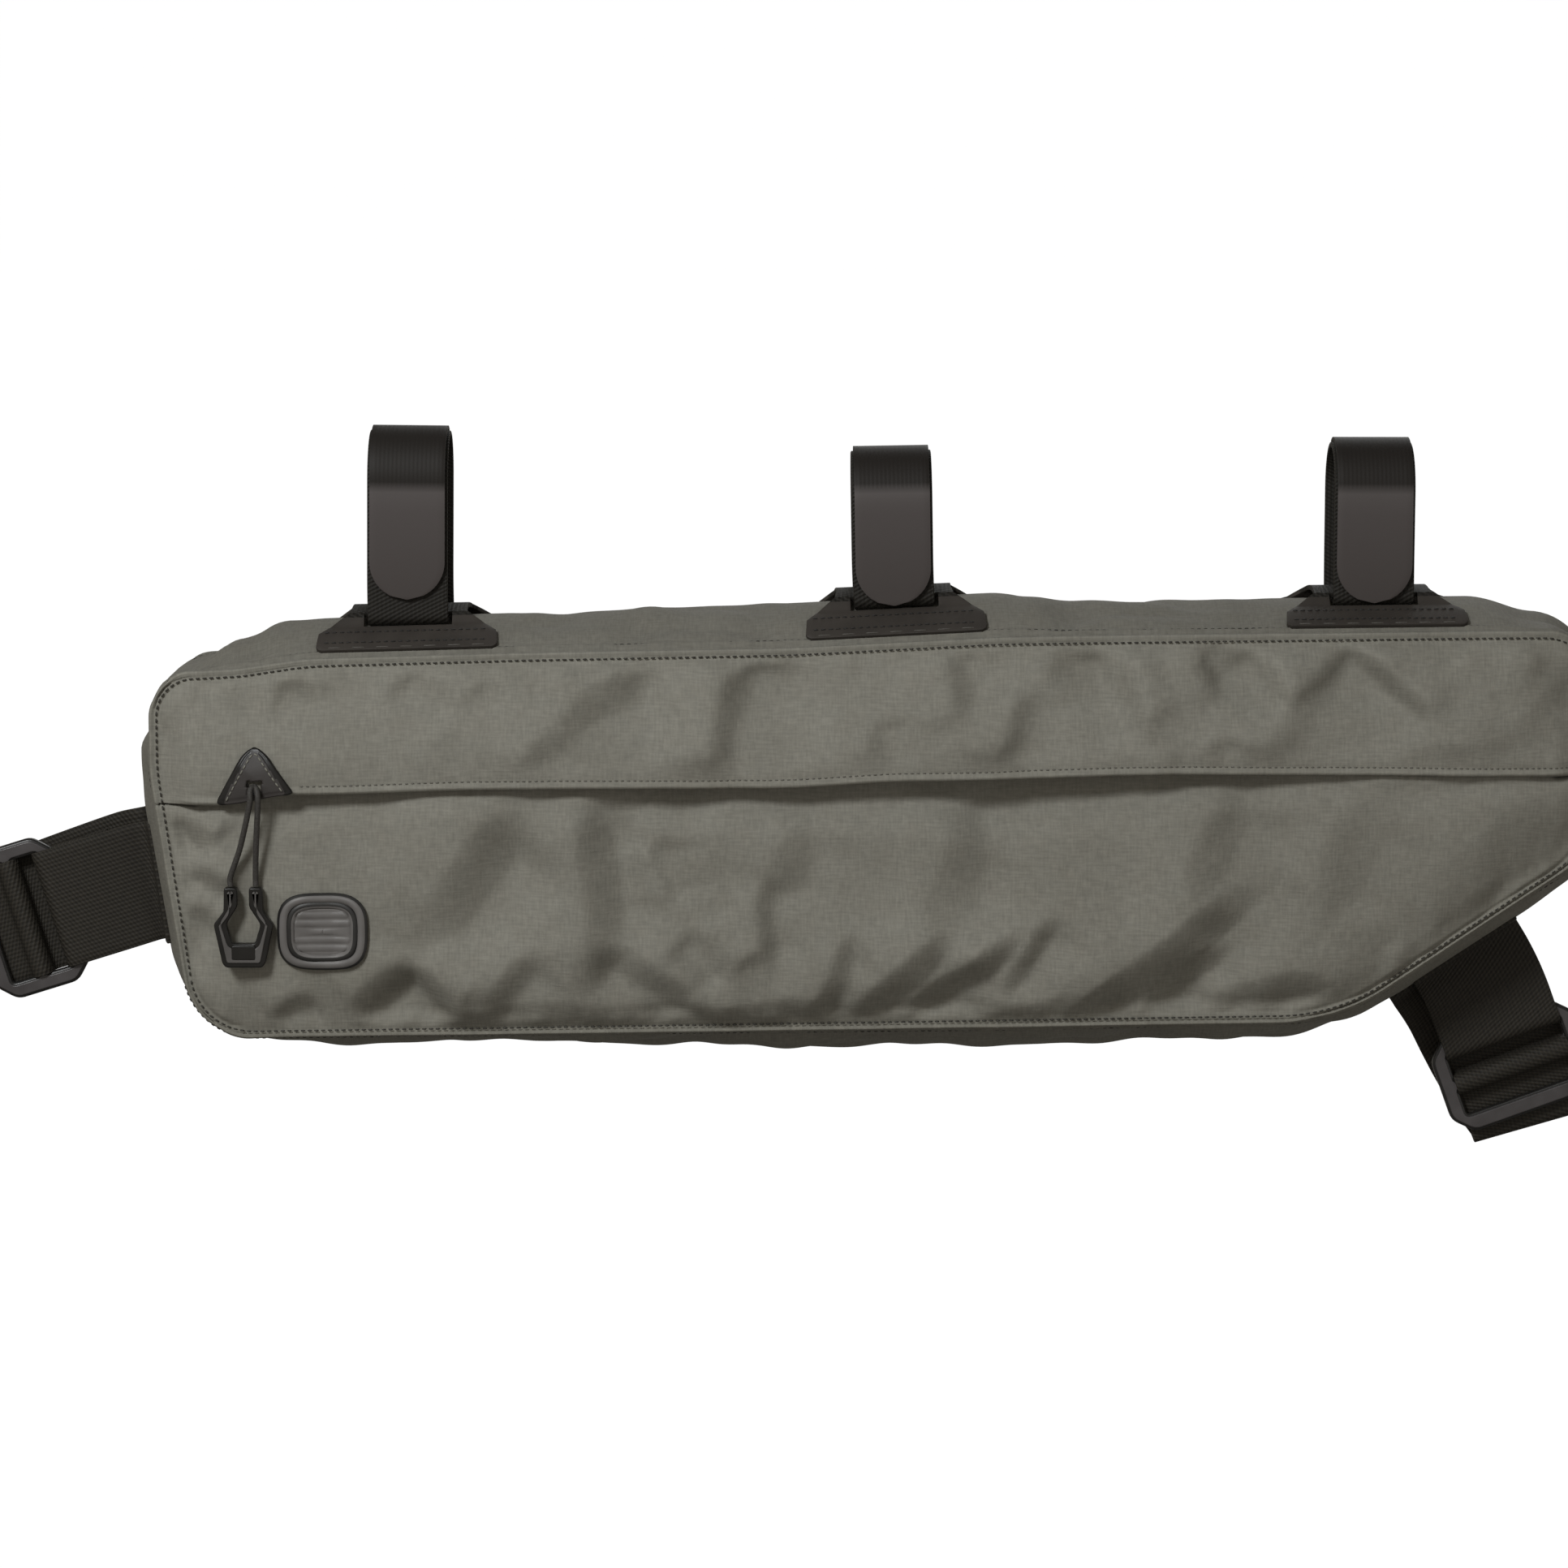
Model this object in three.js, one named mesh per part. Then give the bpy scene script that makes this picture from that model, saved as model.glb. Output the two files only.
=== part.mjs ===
// A zipped cloth bag that hangs inside a bicycle frame from three webbing loops, with a strap at each end.
// Millimetres: X runs along the bag to the right, Y points away from its front panel and Z points up.
// The origin is the middle of the centre loop, which is the axis of the frame tube.
import * as THREE from "three";

// The sewn body
const BAG_LENGTH = 446;
const BAG_HEIGHT = 125;
const BAG_WIDTH = 56;
const CLOTH = 1.6;
const GAP = 0.3;
const FRONT_PUFF = 7.5;
const BACK_PUFF = 4;
const PUFF_REACH = 46;
// Where the tube axis passes along the length, as a share from the left end
const TUBE_ALONG = 0.515;

// The seam as a rounded polygon, anticlockwise from the bottom left: shares of length and height.
const OUTLINE_CORNERS = [
  { name: "bottomLeft", along: 0.027, up: 0, radius: 20 },
  { name: "bottomQuarter", along: 0.35, up: 0.0171, radius: 300 },
  { name: "bottomMiddle", along: 0.6, up: 0.0306, radius: 300 },
  { name: "bottomBend", along: 0.822, up: 0.043, radius: 60 },
  { name: "lowerTip", along: 1, up: 0.47, radius: 26 },
  { name: "topRight", along: 1, up: 1, radius: 26 },
  { name: "topEnd", along: 0.915, up: 0.998, radius: 300 },
  { name: "topDip", along: 0.645, up: 0.9864, radius: 300 },
  { name: "topRise", along: 0.585, up: 0.983, radius: 300 },
  { name: "topMiddle", along: 0.44, up: 0.956, radius: 300 },
  { name: "topLevel", along: 0.25, up: 0.943, radius: 300 },
  { name: "topShoulder", along: 0.108, up: 0.929, radius: 100 },
  { name: "topFall", along: 0.06, up: 0.9035, radius: 60 },
  { name: "topLeft", along: 0, up: 0.893, radius: 17 },
  { name: "leftWaist", along: 0, up: 0.66, radius: 60 },
];

// How far the gusset bulges outside the seam at each corner of the outline
const GUSSET_BULGE = {
  bottomLeft: 6.4,
  bottomQuarter: 8.5,
  bottomMiddle: 11,
  bottomBend: 8.6,
  lowerTip: 9,
  topRight: 3,
  topEnd: 8.5,
  topDip: 8.5,
  topRise: 11.5,
  topMiddle: 11.5,
  topLevel: 10.1,
  topShoulder: 10.1,
  topFall: 6.5,
  topLeft: 1.2,
  leftWaist: 7.5,
};
const GUSSET_ROUNDNESS = 2.2;

// The storm flap: its lower edge across the front, and how far it covers the lower panel
const FLAP_EDGE = [
  { along: 0, up: 0.582 },
  { along: 0.045, up: 0.584 },
  { along: 0.1, up: 0.612 },
  { along: 0.25, up: 0.625 },
  { along: 0.42, up: 0.627 },
  { along: 0.53, up: 0.645 },
  { along: 0.71, up: 0.661 },
  { along: 0.85, up: 0.659 },
  { along: 1, up: 0.653 },
];
const FLAP_COVER = 8;
const FLAP_LIFT = 3;
const FLAP_BLEND = 24;
const FLAP_END = 12;

// Dents and folds pressed into the front, as shares of length and height, with sizes in millimetres
const FOLDS = [
  { fromAlong: 0.15, fromUp: 0.9, toAlong: 0.22, toUp: 0.74, halfWidth: 9, depth: -2.4 },
  { fromAlong: 0.36, fromUp: 0.86, toAlong: 0.34, toUp: 0.72, halfWidth: 9, depth: -2.2 },
  { fromAlong: 0.47, fromUp: 0.9, toAlong: 0.5, toUp: 0.74, halfWidth: 8, depth: -1.8 },
  { fromAlong: 0.63, fromUp: 0.88, toAlong: 0.62, toUp: 0.74, halfWidth: 9, depth: -2 },
  { fromAlong: 0.82, fromUp: 0.88, toAlong: 0.79, toUp: 0.72, halfWidth: 8, depth: 2 },
  { fromAlong: 0.88, fromUp: 0.88, toAlong: 0.9, toUp: 0.72, halfWidth: 8, depth: -2.6 },
  { fromAlong: 0.2, fromUp: 0.48, toAlong: 0.17, toUp: 0.28, halfWidth: 13, depth: -3 },
  { fromAlong: 0.29, fromUp: 0.5, toAlong: 0.32, toUp: 0.2, halfWidth: 11, depth: -2.4 },
  { fromAlong: 0.5, fromUp: 0.3, toAlong: 0.46, toUp: 0.08, halfWidth: 10, depth: -2.2 },
  { fromAlong: 0.56, fromUp: 0.26, toAlong: 0.49, toUp: 0.07, halfWidth: 9, depth: -2.8 },
  { fromAlong: 0.73, fromUp: 0.36, toAlong: 0.63, toUp: 0.09, halfWidth: 12, depth: -3.4 },
  { fromAlong: 0.83, fromUp: 0.3, toAlong: 0.76, toUp: 0.12, halfWidth: 11, depth: -2.6 },
];
const FOLD_MARGIN = 12;

// The zip behind the flap
const ZIP_TAPE = 1.2;
const ZIP_HEIGHT = 15;
const ZIP_COIL_WIDTH = 5;
const ZIP_COIL_RISE = 1;
const ZIP_FROM_LEFT = 22;
const ZIP_FROM_RIGHT = 14;

// The garage patch, its hole and the slider parked behind it
const GARAGE_WIDTH = 25;
const GARAGE_HEIGHT = 16.2;
const GARAGE_ALONG = 0.0715;
const GARAGE_ABOVE_EDGE = 0.3;
const GARAGE_TIP_WIDTH = 5;
const HOLE_WIDTH = 4.6;
const HOLE_HEIGHT = 4.4;
const HOLE_ABOVE_BASE = 1.6;
const NOTCH_SPARE = 1.4;

// The cord and the moulded pull that hangs on it
const CORD_DIAMETER = 1.8;
const CORD_DROP = 31;
const CORD_SPREAD = 2.6;
const PULL_WIDTH = 18.4;
const PULL_HEIGHT = 25;
const PULL_THICKNESS = 3.4;
const PULL_LEAN = -4;

// The rubber patch on the lower panel
const BADGE_ALONG = 0.117;
const BADGE_UP = 0.27;
const BADGE_WIDTH = 27;
const BADGE_HEIGHT = 23;
const BADGE_THICKNESS = 2.2;
const BADGE_RIM = 2.4;
const BADGE_SUNK = 1;
const BADGE_ROUNDNESS = 3.4;

// The webbing loops round the frame tube, with their plates and tabs; tabEnd is
// above the gusset's crest, and lean is in degrees from square to it, towards the right
const LOOPS = [
  { along: 0.175, height: 58.5, tabEnd: 6.8, lean: 2.2 },
  { along: 0.515, height: 46.5, tabEnd: -0.8, lean: 2 },
  { along: 0.848, height: 49, tabEnd: -0.1, lean: 0.8 },
];
const LOOP_WIDTH = 25;
const LEAN_OVER = 15;
const LOOP_DEPTH = 30;
const LOOP_THICKNESS = 1.6;
const SLOT_APART = 28.4;
const TAB_WIDTH = 23.4;
const TAB_THICKNESS = 1.2;
const TAB_START = 65;
const PLATE_WIDTH = 56;
const PLATE_WAIST = 36;
const PLATE_FROM_SEAM = 1.5;
const PLATE_REACH = BAG_WIDTH / 2 - PLATE_FROM_SEAM;
const PLATE_THICKNESS = 1.5;
const SLOT_SPARE = 1.2;

// The webbing straps at the two ends, with their slider buckles
const WEBBING_WIDTH = 38;
const WEBBING = 1.6;
const BAR_THICKNESS = 3;
const BAR_BEVEL = 0.9;
const BAR_PITCH = 11.5;
const BUCKLE_WIDTH = 48;
const BUCKLE_HEIGHT = 32;
const BUCKLE_CHAMFER = 6;
const FOOT_LENGTH = 15;
const RETURN_LENGTH = 14;
const TAIL_FROM_ROOT = 12;
// buckleAt and length run from the strap's root, the turns are in degrees
const STRAPS = [
  {
    name: "left",
    edge: "leftWaist",
    share: 0.46,
    buckleAt: 45,
    length: 67,
    turnOver: 8,
    buckleTurn: 9,
    endTurn: 10,
    rearShift: -4,
  },
  {
    name: "right",
    edge: "bottomBend",
    share: 0.475,
    buckleAt: 41.5,
    length: 62.5,
    turnOver: 22,
    buckleTurn: -14,
    endTurn: -20,
    rearShift: -9,
  },
];

const CLOTH_COLOUR = 0x76766c;
const WEBBING_COLOUR = 0x1e1b18;
const TAB_COLOUR = 0x484240;
const PLASTIC_COLOUR = 0x2a2a2a;

const clamp = (value, low, high) => Math.min(high, Math.max(low, value));
const smooth = (value) => {
  const t = clamp(value, 0, 1);
  return t * t * (3 - 2 * t);
};
const radians = THREE.MathUtils.degToRad;
const lerp = THREE.MathUtils.lerp;

// Points along the rounded outline, each with its outward normal, its distance and the local bulge.
function traceOutline() {
  const at = (corner) => ({ x: corner.along * BAG_LENGTH, z: corner.up * BAG_HEIGHT });
  const count = OUTLINE_CORNERS.length;
  const points = [];
  const marks = {};
  OUTLINE_CORNERS.forEach((corner, i) => {
    const here = at(corner);
    const before = at(OUTLINE_CORNERS[(i + count - 1) % count]);
    const after = at(OUTLINE_CORNERS[(i + 1) % count]);
    const inAngle = Math.atan2(here.z - before.z, here.x - before.x);
    let turn = Math.atan2(after.z - here.z, after.x - here.x) - inAngle;
    turn = Math.atan2(Math.sin(turn), Math.cos(turn));
    const room = 0.45 * Math.min(
      Math.hypot(here.x - before.x, here.z - before.z),
      Math.hypot(after.x - here.x, after.z - here.z),
    );
    const radius = Math.sign(turn) * Math.min(corner.radius, Math.abs(room / Math.tan(turn / 2)));
    const setback = radius * Math.tan(turn / 2);
    const startX = here.x - setback * Math.cos(inAngle);
    const startZ = here.z - setback * Math.sin(inAngle);
    const steps = 2 * Math.ceil(Math.abs(turn) / radians(12));
    for (let k = 0; k <= steps; k++) {
      const angle = inAngle + (turn * k) / steps;
      points.push({
        x: startX + radius * (Math.sin(angle) - Math.sin(inAngle)),
        z: startZ - radius * (Math.cos(angle) - Math.cos(inAngle)),
        nx: Math.sin(angle),
        nz: -Math.cos(angle),
        bulge: GUSSET_BULGE[corner.name],
      });
      if (k === steps / 2) marks[corner.name] = points.length - 1;
    }
  });
  points.push({ ...points[0] });
  let distance = 0;
  points.forEach((point, i) => {
    const last = points[Math.max(0, i - 1)];
    distance += Math.hypot(point.x - last.x, point.z - last.z);
    point.distance = distance;
  });
  for (const name of Object.keys(marks)) marks[name] = points[marks[name]].distance;
  return { points, marks, total: distance };
}
const outline = traceOutline();

// The outline at a distance along it, pushed outwards by an offset.
function outlineAt(distance, offset = 0) {
  const wrapped = ((distance % outline.total) + outline.total) % outline.total;
  const { points } = outline;
  let k = 1;
  while (points[k].distance < wrapped && k < points.length - 1) k++;
  const a = points[k - 1];
  const b = points[k];
  const t = b.distance > a.distance ? (wrapped - a.distance) / (b.distance - a.distance) : 0;
  const length = Math.hypot(lerp(a.nx, b.nx, t), lerp(a.nz, b.nz, t));
  const nx = lerp(a.nx, b.nx, t) / length;
  const nz = lerp(a.nz, b.nz, t) / length;
  return {
    x: lerp(a.x, b.x, t) + offset * nx,
    z: lerp(a.z, b.z, t) + offset * nz,
    nx,
    nz,
    bulge: lerp(a.bulge, b.bulge, smooth(t)),
  };
}

// How far inside the outline a point lies.
function insideBy(x, z) {
  const { points } = outline;
  let nearest = Infinity;
  for (let k = 1; k < points.length; k++) {
    const a = points[k - 1];
    const b = points[k];
    const dx = b.x - a.x;
    const dz = b.z - a.z;
    const t = clamp(((x - a.x) * dx + (z - a.z) * dz) / (dx * dx + dz * dz || 1), 0, 1);
    nearest = Math.min(nearest, Math.hypot(x - a.x - t * dx, z - a.z - t * dz));
  }
  return nearest;
}

// The height of the flap's lower edge at x, straight between the points of its table.
function flapEdge(x) {
  const along = clamp(x / BAG_LENGTH, 0, 1);
  let k = 1;
  while (FLAP_EDGE[k].along < along) k++;
  const a = FLAP_EDGE[k - 1];
  const b = FLAP_EDGE[k];
  return BAG_HEIGHT * lerp(a.up, b.up, smooth((along - a.along) / (b.along - a.along)));
}

// How far a point is from the nearer end of the flap line.
const fromEnds = (x) => Math.min(x, BAG_LENGTH - x);

// The flap stands proud along its lower edge, and joins the lower panel in a plain seam at both ends.
function flapLift(x, z) {
  const across = 1 - smooth((z - flapEdge(x) - FLAP_COVER) / FLAP_BLEND);
  return FLAP_LIFT * across * smooth((fromEnds(x) - 2) / FLAP_END);
}

// How far the lower panel's top edge runs up behind the flap.
function flapCover(x) {
  return lerp(-GAP, FLAP_COVER, smooth((fromEnds(x) - FLAP_END) / FLAP_END));
}

// A pillow shape that is flat on the seam and full at PUFF_REACH inside it.
function pillow(depth) {
  return Math.sin((Math.PI / 2) * Math.min(1, depth / PUFF_REACH)) ** 0.8;
}

// The folds at a point, fading out at the seam and along the zip.
function foldDepth(x, z, depth) {
  let sum = 0;
  for (const fold of FOLDS) {
    const ax = fold.fromAlong * BAG_LENGTH;
    const az = fold.fromUp * BAG_HEIGHT;
    const dx = fold.toAlong * BAG_LENGTH - ax;
    const dz = fold.toUp * BAG_HEIGHT - az;
    const t = clamp(((x - ax) * dx + (z - az) * dz) / (dx * dx + dz * dz), 0, 1);
    const away = Math.hypot(x - ax - t * dx, z - az - t * dz) / fold.halfWidth;
    sum += fold.depth * Math.exp(-away * away);
  }
  const zipFade = smooth((Math.abs(z - flapEdge(x)) - FLAP_COVER) / FOLD_MARGIN);
  return sum * smooth(depth / FOLD_MARGIN) * zipFade;
}

// The outer face of the front, as a distance in front of the middle of the bag.
function frontFace(x, z, lift = 0) {
  const depth = insideBy(x, z);
  const puff = FRONT_PUFF * pillow(depth) + foldDepth(x, z, depth);
  return BAG_WIDTH / 2 + CLOTH + puff + lift;
}

// The gusset's bulge outside the seam at a share of its half width.
const gussetRise = (bulge, share) => bulge * (1 - Math.abs(share) ** GUSSET_ROUNDNESS);

// Everything is drawn from the outline's own corner and then moved to hang from the tube axis.
const hangAt = topOutlineAt(TUBE_ALONG * BAG_LENGTH);
const OFFSET_X = -TUBE_ALONG * BAG_LENGTH;
const OFFSET_Z = -LOOPS[1].height / 2 - hangAt.z - hangAt.bulge - CLOTH / 2;

// The distance along the outline at which its top edge passes x.
function topDistanceAt(x) {
  let low = outline.marks.topRight;
  let high = outline.marks.topLeft;
  for (let k = 0; k < 40; k++) {
    const middle = (low + high) / 2;
    if (outlineAt(middle).x > x) low = middle;
    else high = middle;
  }
  return (low + high) / 2;
}

function topOutlineAt(x) {
  return outlineAt(topDistanceAt(x));
}

// The distance along one side of the outline at which it meets the flap's edge, plus an allowance.
function sideCrossing(from, to, above) {
  let low = from;
  let high = to;
  const rising = outlineAt(to).z > outlineAt(from).z;
  for (let k = 0; k < 40; k++) {
    const middle = (low + high) / 2;
    const point = outlineAt(middle);
    if (point.z > flapEdge(point.x) + above === rising) high = middle;
    else low = middle;
  }
  return (low + high) / 2;
}

// Makes a solid from points and faces of three or four corners, turned to face outwards.
function solid(points, faces) {
  const index = [];
  for (const face of faces) {
    for (let k = 2; k < face.length; k++) index.push(face[0], face[k - 1], face[k]);
  }
  let volume = 0;
  for (let k = 0; k < index.length; k += 3) {
    const [a, b, c] = [points[index[k]], points[index[k + 1]], points[index[k + 2]]];
    volume += a.dot(new THREE.Vector3().crossVectors(b, c));
  }
  if (volume < 0) index.reverse();
  const geometry = new THREE.BufferGeometry().setFromPoints(points);
  geometry.setIndex(index);
  geometry.computeVertexNormals();
  return geometry;
}

// A closed sheet over a grid of columns and rows: `outer` and `inner` place its two faces,
// `wraps` joins the last column to the first, and `has` leaves cells out to make openings.
function sheet({ columns, rows, outer, inner, wraps = false, has = () => true }) {
  const points = [];
  for (const place of [outer, inner]) {
    for (let i = 0; i < columns; i++) {
      for (let j = 0; j < rows; j++) points.push(place(i, j));
    }
  }
  const half = columns * rows;
  const id = (i, j, side) => side * half + (i % columns) * rows + j;
  const cells = wraps ? columns : columns - 1;
  const present = (i, j) => {
    if (j < 0 || j >= rows - 1) return false;
    if (wraps) return has((i + cells) % cells, j);
    return i >= 0 && i < cells && has(i, j);
  };
  const faces = [];
  for (let i = 0; i < cells; i++) {
    for (let j = 0; j < rows - 1; j++) {
      if (!present(i, j)) continue;
      const ring = [[i, j], [i + 1, j], [i + 1, j + 1], [i, j + 1]];
      faces.push(ring.map(([a, b]) => id(a, b, 0)));
      faces.push(ring.map(([a, b]) => id(a, b, 1)).reverse());
      const beside = [[i, j - 1], [i + 1, j], [i, j + 1], [i - 1, j]];
      beside.forEach(([a, b], side) => {
        if (present(a, b)) return;
        const [p, q] = [ring[side], ring[(side + 1) % 4]];
        faces.push([id(...p, 0), id(...p, 1), id(...q, 1), id(...q, 0)]);
      });
    }
  }
  return solid(dropUnused(points, faces), faces);
}

// Keeps only the points that some face uses, and renumbers the faces to match.
function dropUnused(points, faces) {
  const kept = [];
  const renumbered = new Map();
  for (const face of faces) {
    face.forEach((id, k) => {
      if (!renumbered.has(id)) {
        renumbered.set(id, kept.length);
        kept.push(points[id]);
      }
      face[k] = renumbered.get(id);
    });
  }
  return kept;
}

// A flat band that follows a side-view path of {s, t} points; `place` puts s, t and the distance
// across into space, and each path point may carry its own half width and sideways shift.
function band(path, thickness, halfWidth, place, closed = false) {
  const count = path.length;
  const points = [];
  path.forEach((here, i) => {
    const before = closed ? path[(i + count - 1) % count] : path[Math.max(0, i - 1)];
    const after = closed ? path[(i + 1) % count] : path[Math.min(count - 1, i + 1)];
    const inAngle = Math.atan2(here.t - before.t, here.s - before.s);
    const outAngle = Math.atan2(after.t - here.t, after.s - here.s);
    const [a, b] = [here === before ? outAngle : inAngle, here === after ? inAngle : outAngle];
    const turn = Math.atan2(Math.sin(b - a), Math.cos(b - a));
    const reach = thickness / 2 / Math.cos(turn / 2);
    const normal = a + turn / 2 + Math.PI / 2;
    const wide = here.halfWidth ?? halfWidth;
    const shift = here.shift ?? 0;
    for (const [side, across] of [[1, -1], [1, 1], [-1, 1], [-1, -1]]) {
      points.push(place(
        here.s + side * reach * Math.cos(normal),
        here.t + side * reach * Math.sin(normal),
        shift + across * wide,
      ));
    }
  });
  const faces = [];
  for (let i = 0; i < (closed ? count : count - 1); i++) {
    const next = (i + 1) % count;
    for (let k = 0; k < 4; k++) {
      const l = (k + 1) % 4;
      faces.push([4 * i + k, 4 * i + l, 4 * next + l, 4 * next + k]);
    }
  }
  if (!closed) {
    const last = 4 * (count - 1);
    faces.push([3, 2, 1, 0], [last, last + 1, last + 2, last + 3]);
  }
  return solid(points, faces);
}

// Adds points on a circle to a path, from one angle to another in degrees.
function addArc(path, s, t, radius, from, to, steps = 6) {
  for (let k = 0; k <= steps; k++) {
    const angle = radians(lerp(from, to, k / steps));
    path.push({ s: s + radius * Math.cos(angle), t: t + radius * Math.sin(angle) });
  }
}

const group = new THREE.Group();
group.name = "frame_bag";

function add(name, geometry, colour, roughness = 0.8) {
  const mesh = new THREE.Mesh(geometry, new THREE.MeshStandardMaterial({ color: colour, roughness }));
  mesh.name = name;
  group.add(mesh);
}

// Shares from 0 to 1 that crowd towards both ends, where the corners are.
function crowdedShares(count) {
  return Array.from({ length: count + 1 }, (unused, i) => {
    const even = i / count;
    return 0.5 * even + 0.5 * (0.5 - 0.5 * Math.cos(Math.PI * even));
  });
}

// Fills the space between four edges, each a function from 0 to 1, into one function of u and v.
function fillBetween(bottom, top, left, right) {
  return (u, v) => {
    const mix = (key) => (
      (1 - v) * bottom(u)[key] + v * top(u)[key] + (1 - u) * left(v)[key] + u * right(v)[key]
      - (1 - u) * (1 - v) * bottom(0)[key] - u * (1 - v) * bottom(1)[key]
      - (1 - u) * v * top(0)[key] - u * v * top(1)[key]
    );
    return { x: mix("x"), z: mix("z") };
  };
}

// A stretch of the outline as an edge function.
function stretch(from, to, offset) {
  return (share) => outlineAt(lerp(from, to, share), offset);
}

// A panel over a grid of shares, from its filled shape and the height of its outer face.
function panel(shape, us, vs, face, has) {
  const place = (inset) => (i, j) => {
    const { x, z } = shape(us[i], vs[j]);
    return new THREE.Vector3(x + OFFSET_X, inset - face(x, z), z + OFFSET_Z);
  };
  return sheet({
    columns: us.length,
    rows: vs.length,
    outer: place(0),
    inner: place(CLOTH),
    has,
  });
}

const EDGE = CLOTH / 2;
const { marks, total } = outline;

// Where the garage patch sits: the middle of its base, just above the flap's edge.
const garageX = GARAGE_ALONG * BAG_LENGTH;
const garageZ = flapEdge(garageX) + GARAGE_ABOVE_EDGE;

function buildUpperPanel() {
  const left = sideCrossing(marks.topLeft, total + marks.bottomLeft, 0);
  const right = sideCrossing(marks.lowerTip, marks.topRight, 0);
  const start = outlineAt(left, EDGE);
  const end = outlineAt(right, EDGE);
  const bottom = (u) => {
    const x = lerp(start.x, end.x, u);
    return { x, z: flapEdge(x) };
  };
  const shape = fillBetween(
    bottom,
    stretch(marks.topLeft, marks.topRight, EDGE),
    stretch(left, marks.topLeft, EDGE),
    stretch(right, marks.topRight, EDGE),
  );
  // The flap is notched where the slider is parked.
  const notch = (HOLE_WIDTH + NOTCH_SPARE) / 2;
  const shares = [garageX - notch, garageX + notch].map((x) => (x - start.x) / (end.x - start.x));
  const clear = (u) => shares.every((share) => Math.abs(u - share) > 0.006);
  const us = [...crowdedShares(46).filter(clear), ...shares].sort((a, b) => a - b);
  const notched = us.indexOf(shares[0]);
  return panel(
    shape,
    us,
    [0, 0.19, 0.36, 0.54, 0.72, 0.88, 1],
    (x, z) => frontFace(x, z, flapLift(x, z)),
    (i, j) => i < notched || us[i] >= shares[1] || j > 0,
  );
}

function buildLowerPanel() {
  const left = sideCrossing(total + marks.bottomLeft, marks.topLeft, -GAP);
  const right = sideCrossing(marks.lowerTip, marks.topRight, -GAP);
  const start = outlineAt(left, EDGE);
  const end = outlineAt(right, EDGE);
  const top = (u) => {
    const x = lerp(start.x, end.x, u);
    return { x, z: flapEdge(x) + flapCover(x) };
  };
  const shape = fillBetween(
    stretch(marks.bottomLeft, marks.bottomBend, EDGE),
    top,
    stretch(total + marks.bottomLeft, left, EDGE),
    stretch(marks.bottomBend, right, EDGE),
  );
  const vs = [0, 0.1, 0.22, 0.36, 0.5, 0.64, 0.78, 0.9, 1];
  return panel(shape, crowdedShares(44), vs, (x, z) => frontFace(x, z));
}

function buildBackPanel() {
  const shape = fillBetween(
    stretch(marks.bottomLeft, marks.bottomBend, EDGE),
    stretch(marks.topLeft, marks.topRight, EDGE),
    stretch(total + marks.bottomLeft, marks.topLeft, EDGE),
    stretch(marks.bottomBend, marks.topRight, EDGE),
  );
  const us = crowdedShares(30);
  const vs = crowdedShares(6);
  const place = (inset) => (i, j) => {
    const { x, z } = shape(us[i], vs[j]);
    const y = BAG_WIDTH / 2 + CLOTH + BACK_PUFF * pillow(insideBy(x, z)) - inset;
    return new THREE.Vector3(x + OFFSET_X, y, z + OFFSET_Z);
  };
  return sheet({
    columns: us.length,
    rows: vs.length,
    outer: place(0),
    inner: place(CLOTH),
  });
}

// Distances along the outline that crowd into its corners.
function gussetStations() {
  const stations = [];
  const { points } = outline;
  for (let k = 1; k < points.length; k++) {
    const length = points[k].distance - points[k - 1].distance;
    const steps = Math.ceil(length / 17);
    for (let step = 0; step < steps; step++) {
      const distance = points[k - 1].distance + (length * step) / steps;
      const last = stations[stations.length - 1] ?? -Infinity;
      if (distance - last > 4 && total - distance > 4) stations.push(distance);
    }
  }
  return stations;
}

const GUSSET_SHARES = [-1, -0.8, -0.5, 0, 0.5, 0.8, 1];

function buildGusset() {
  const stations = gussetStations();
  const reach = BAG_WIDTH / 2 - GAP;
  const place = (inset) => (i, j) => {
    const share = GUSSET_SHARES[j];
    const { bulge } = outlineAt(stations[i]);
    const point = outlineAt(stations[i], EDGE - inset + gussetRise(bulge, share));
    return new THREE.Vector3(point.x + OFFSET_X, share * reach, point.z + OFFSET_Z);
  };
  return sheet({
    columns: stations.length,
    rows: GUSSET_SHARES.length,
    outer: place(0),
    inner: place(CLOTH),
    wraps: true,
  });
}

// Tape with a raised coil, sewn behind the lower panel's top edge and covered by the flap.
function buildZip() {
  const columns = 27;
  const from = ZIP_FROM_LEFT;
  const to = BAG_LENGTH - ZIP_FROM_RIGHT;
  const coil = ZIP_COIL_WIDTH / 2;
  const levels = [
    { across: -ZIP_HEIGHT / 2, rise: 0 },
    { across: -coil, rise: 0 },
    { across: -coil + 0.6, rise: ZIP_COIL_RISE },
    { across: coil - 0.6, rise: ZIP_COIL_RISE },
    { across: coil, rise: 0 },
    { across: ZIP_HEIGHT / 2, rise: 0 },
  ];
  const place = (isOuter) => (i, j) => {
    const x = lerp(from, to, i / (columns - 1));
    const middle = flapEdge(x) + FLAP_COVER + coil + GAP;
    const z = middle + levels[j].across;
    const back = BAG_WIDTH / 2 + FRONT_PUFF * pillow(insideBy(x, z)) - 0.5;
    const y = isOuter ? back + levels[j].rise : back - ZIP_TAPE;
    return new THREE.Vector3(x + OFFSET_X, -y, z + OFFSET_Z);
  };
  return sheet({ columns, rows: levels.length, outer: place(true), inner: place(false) });
}

// The outer face of the flap behind the garage patch.
const flapFace = (x, z) => frontFace(x, z, flapLift(x, z));

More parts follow.
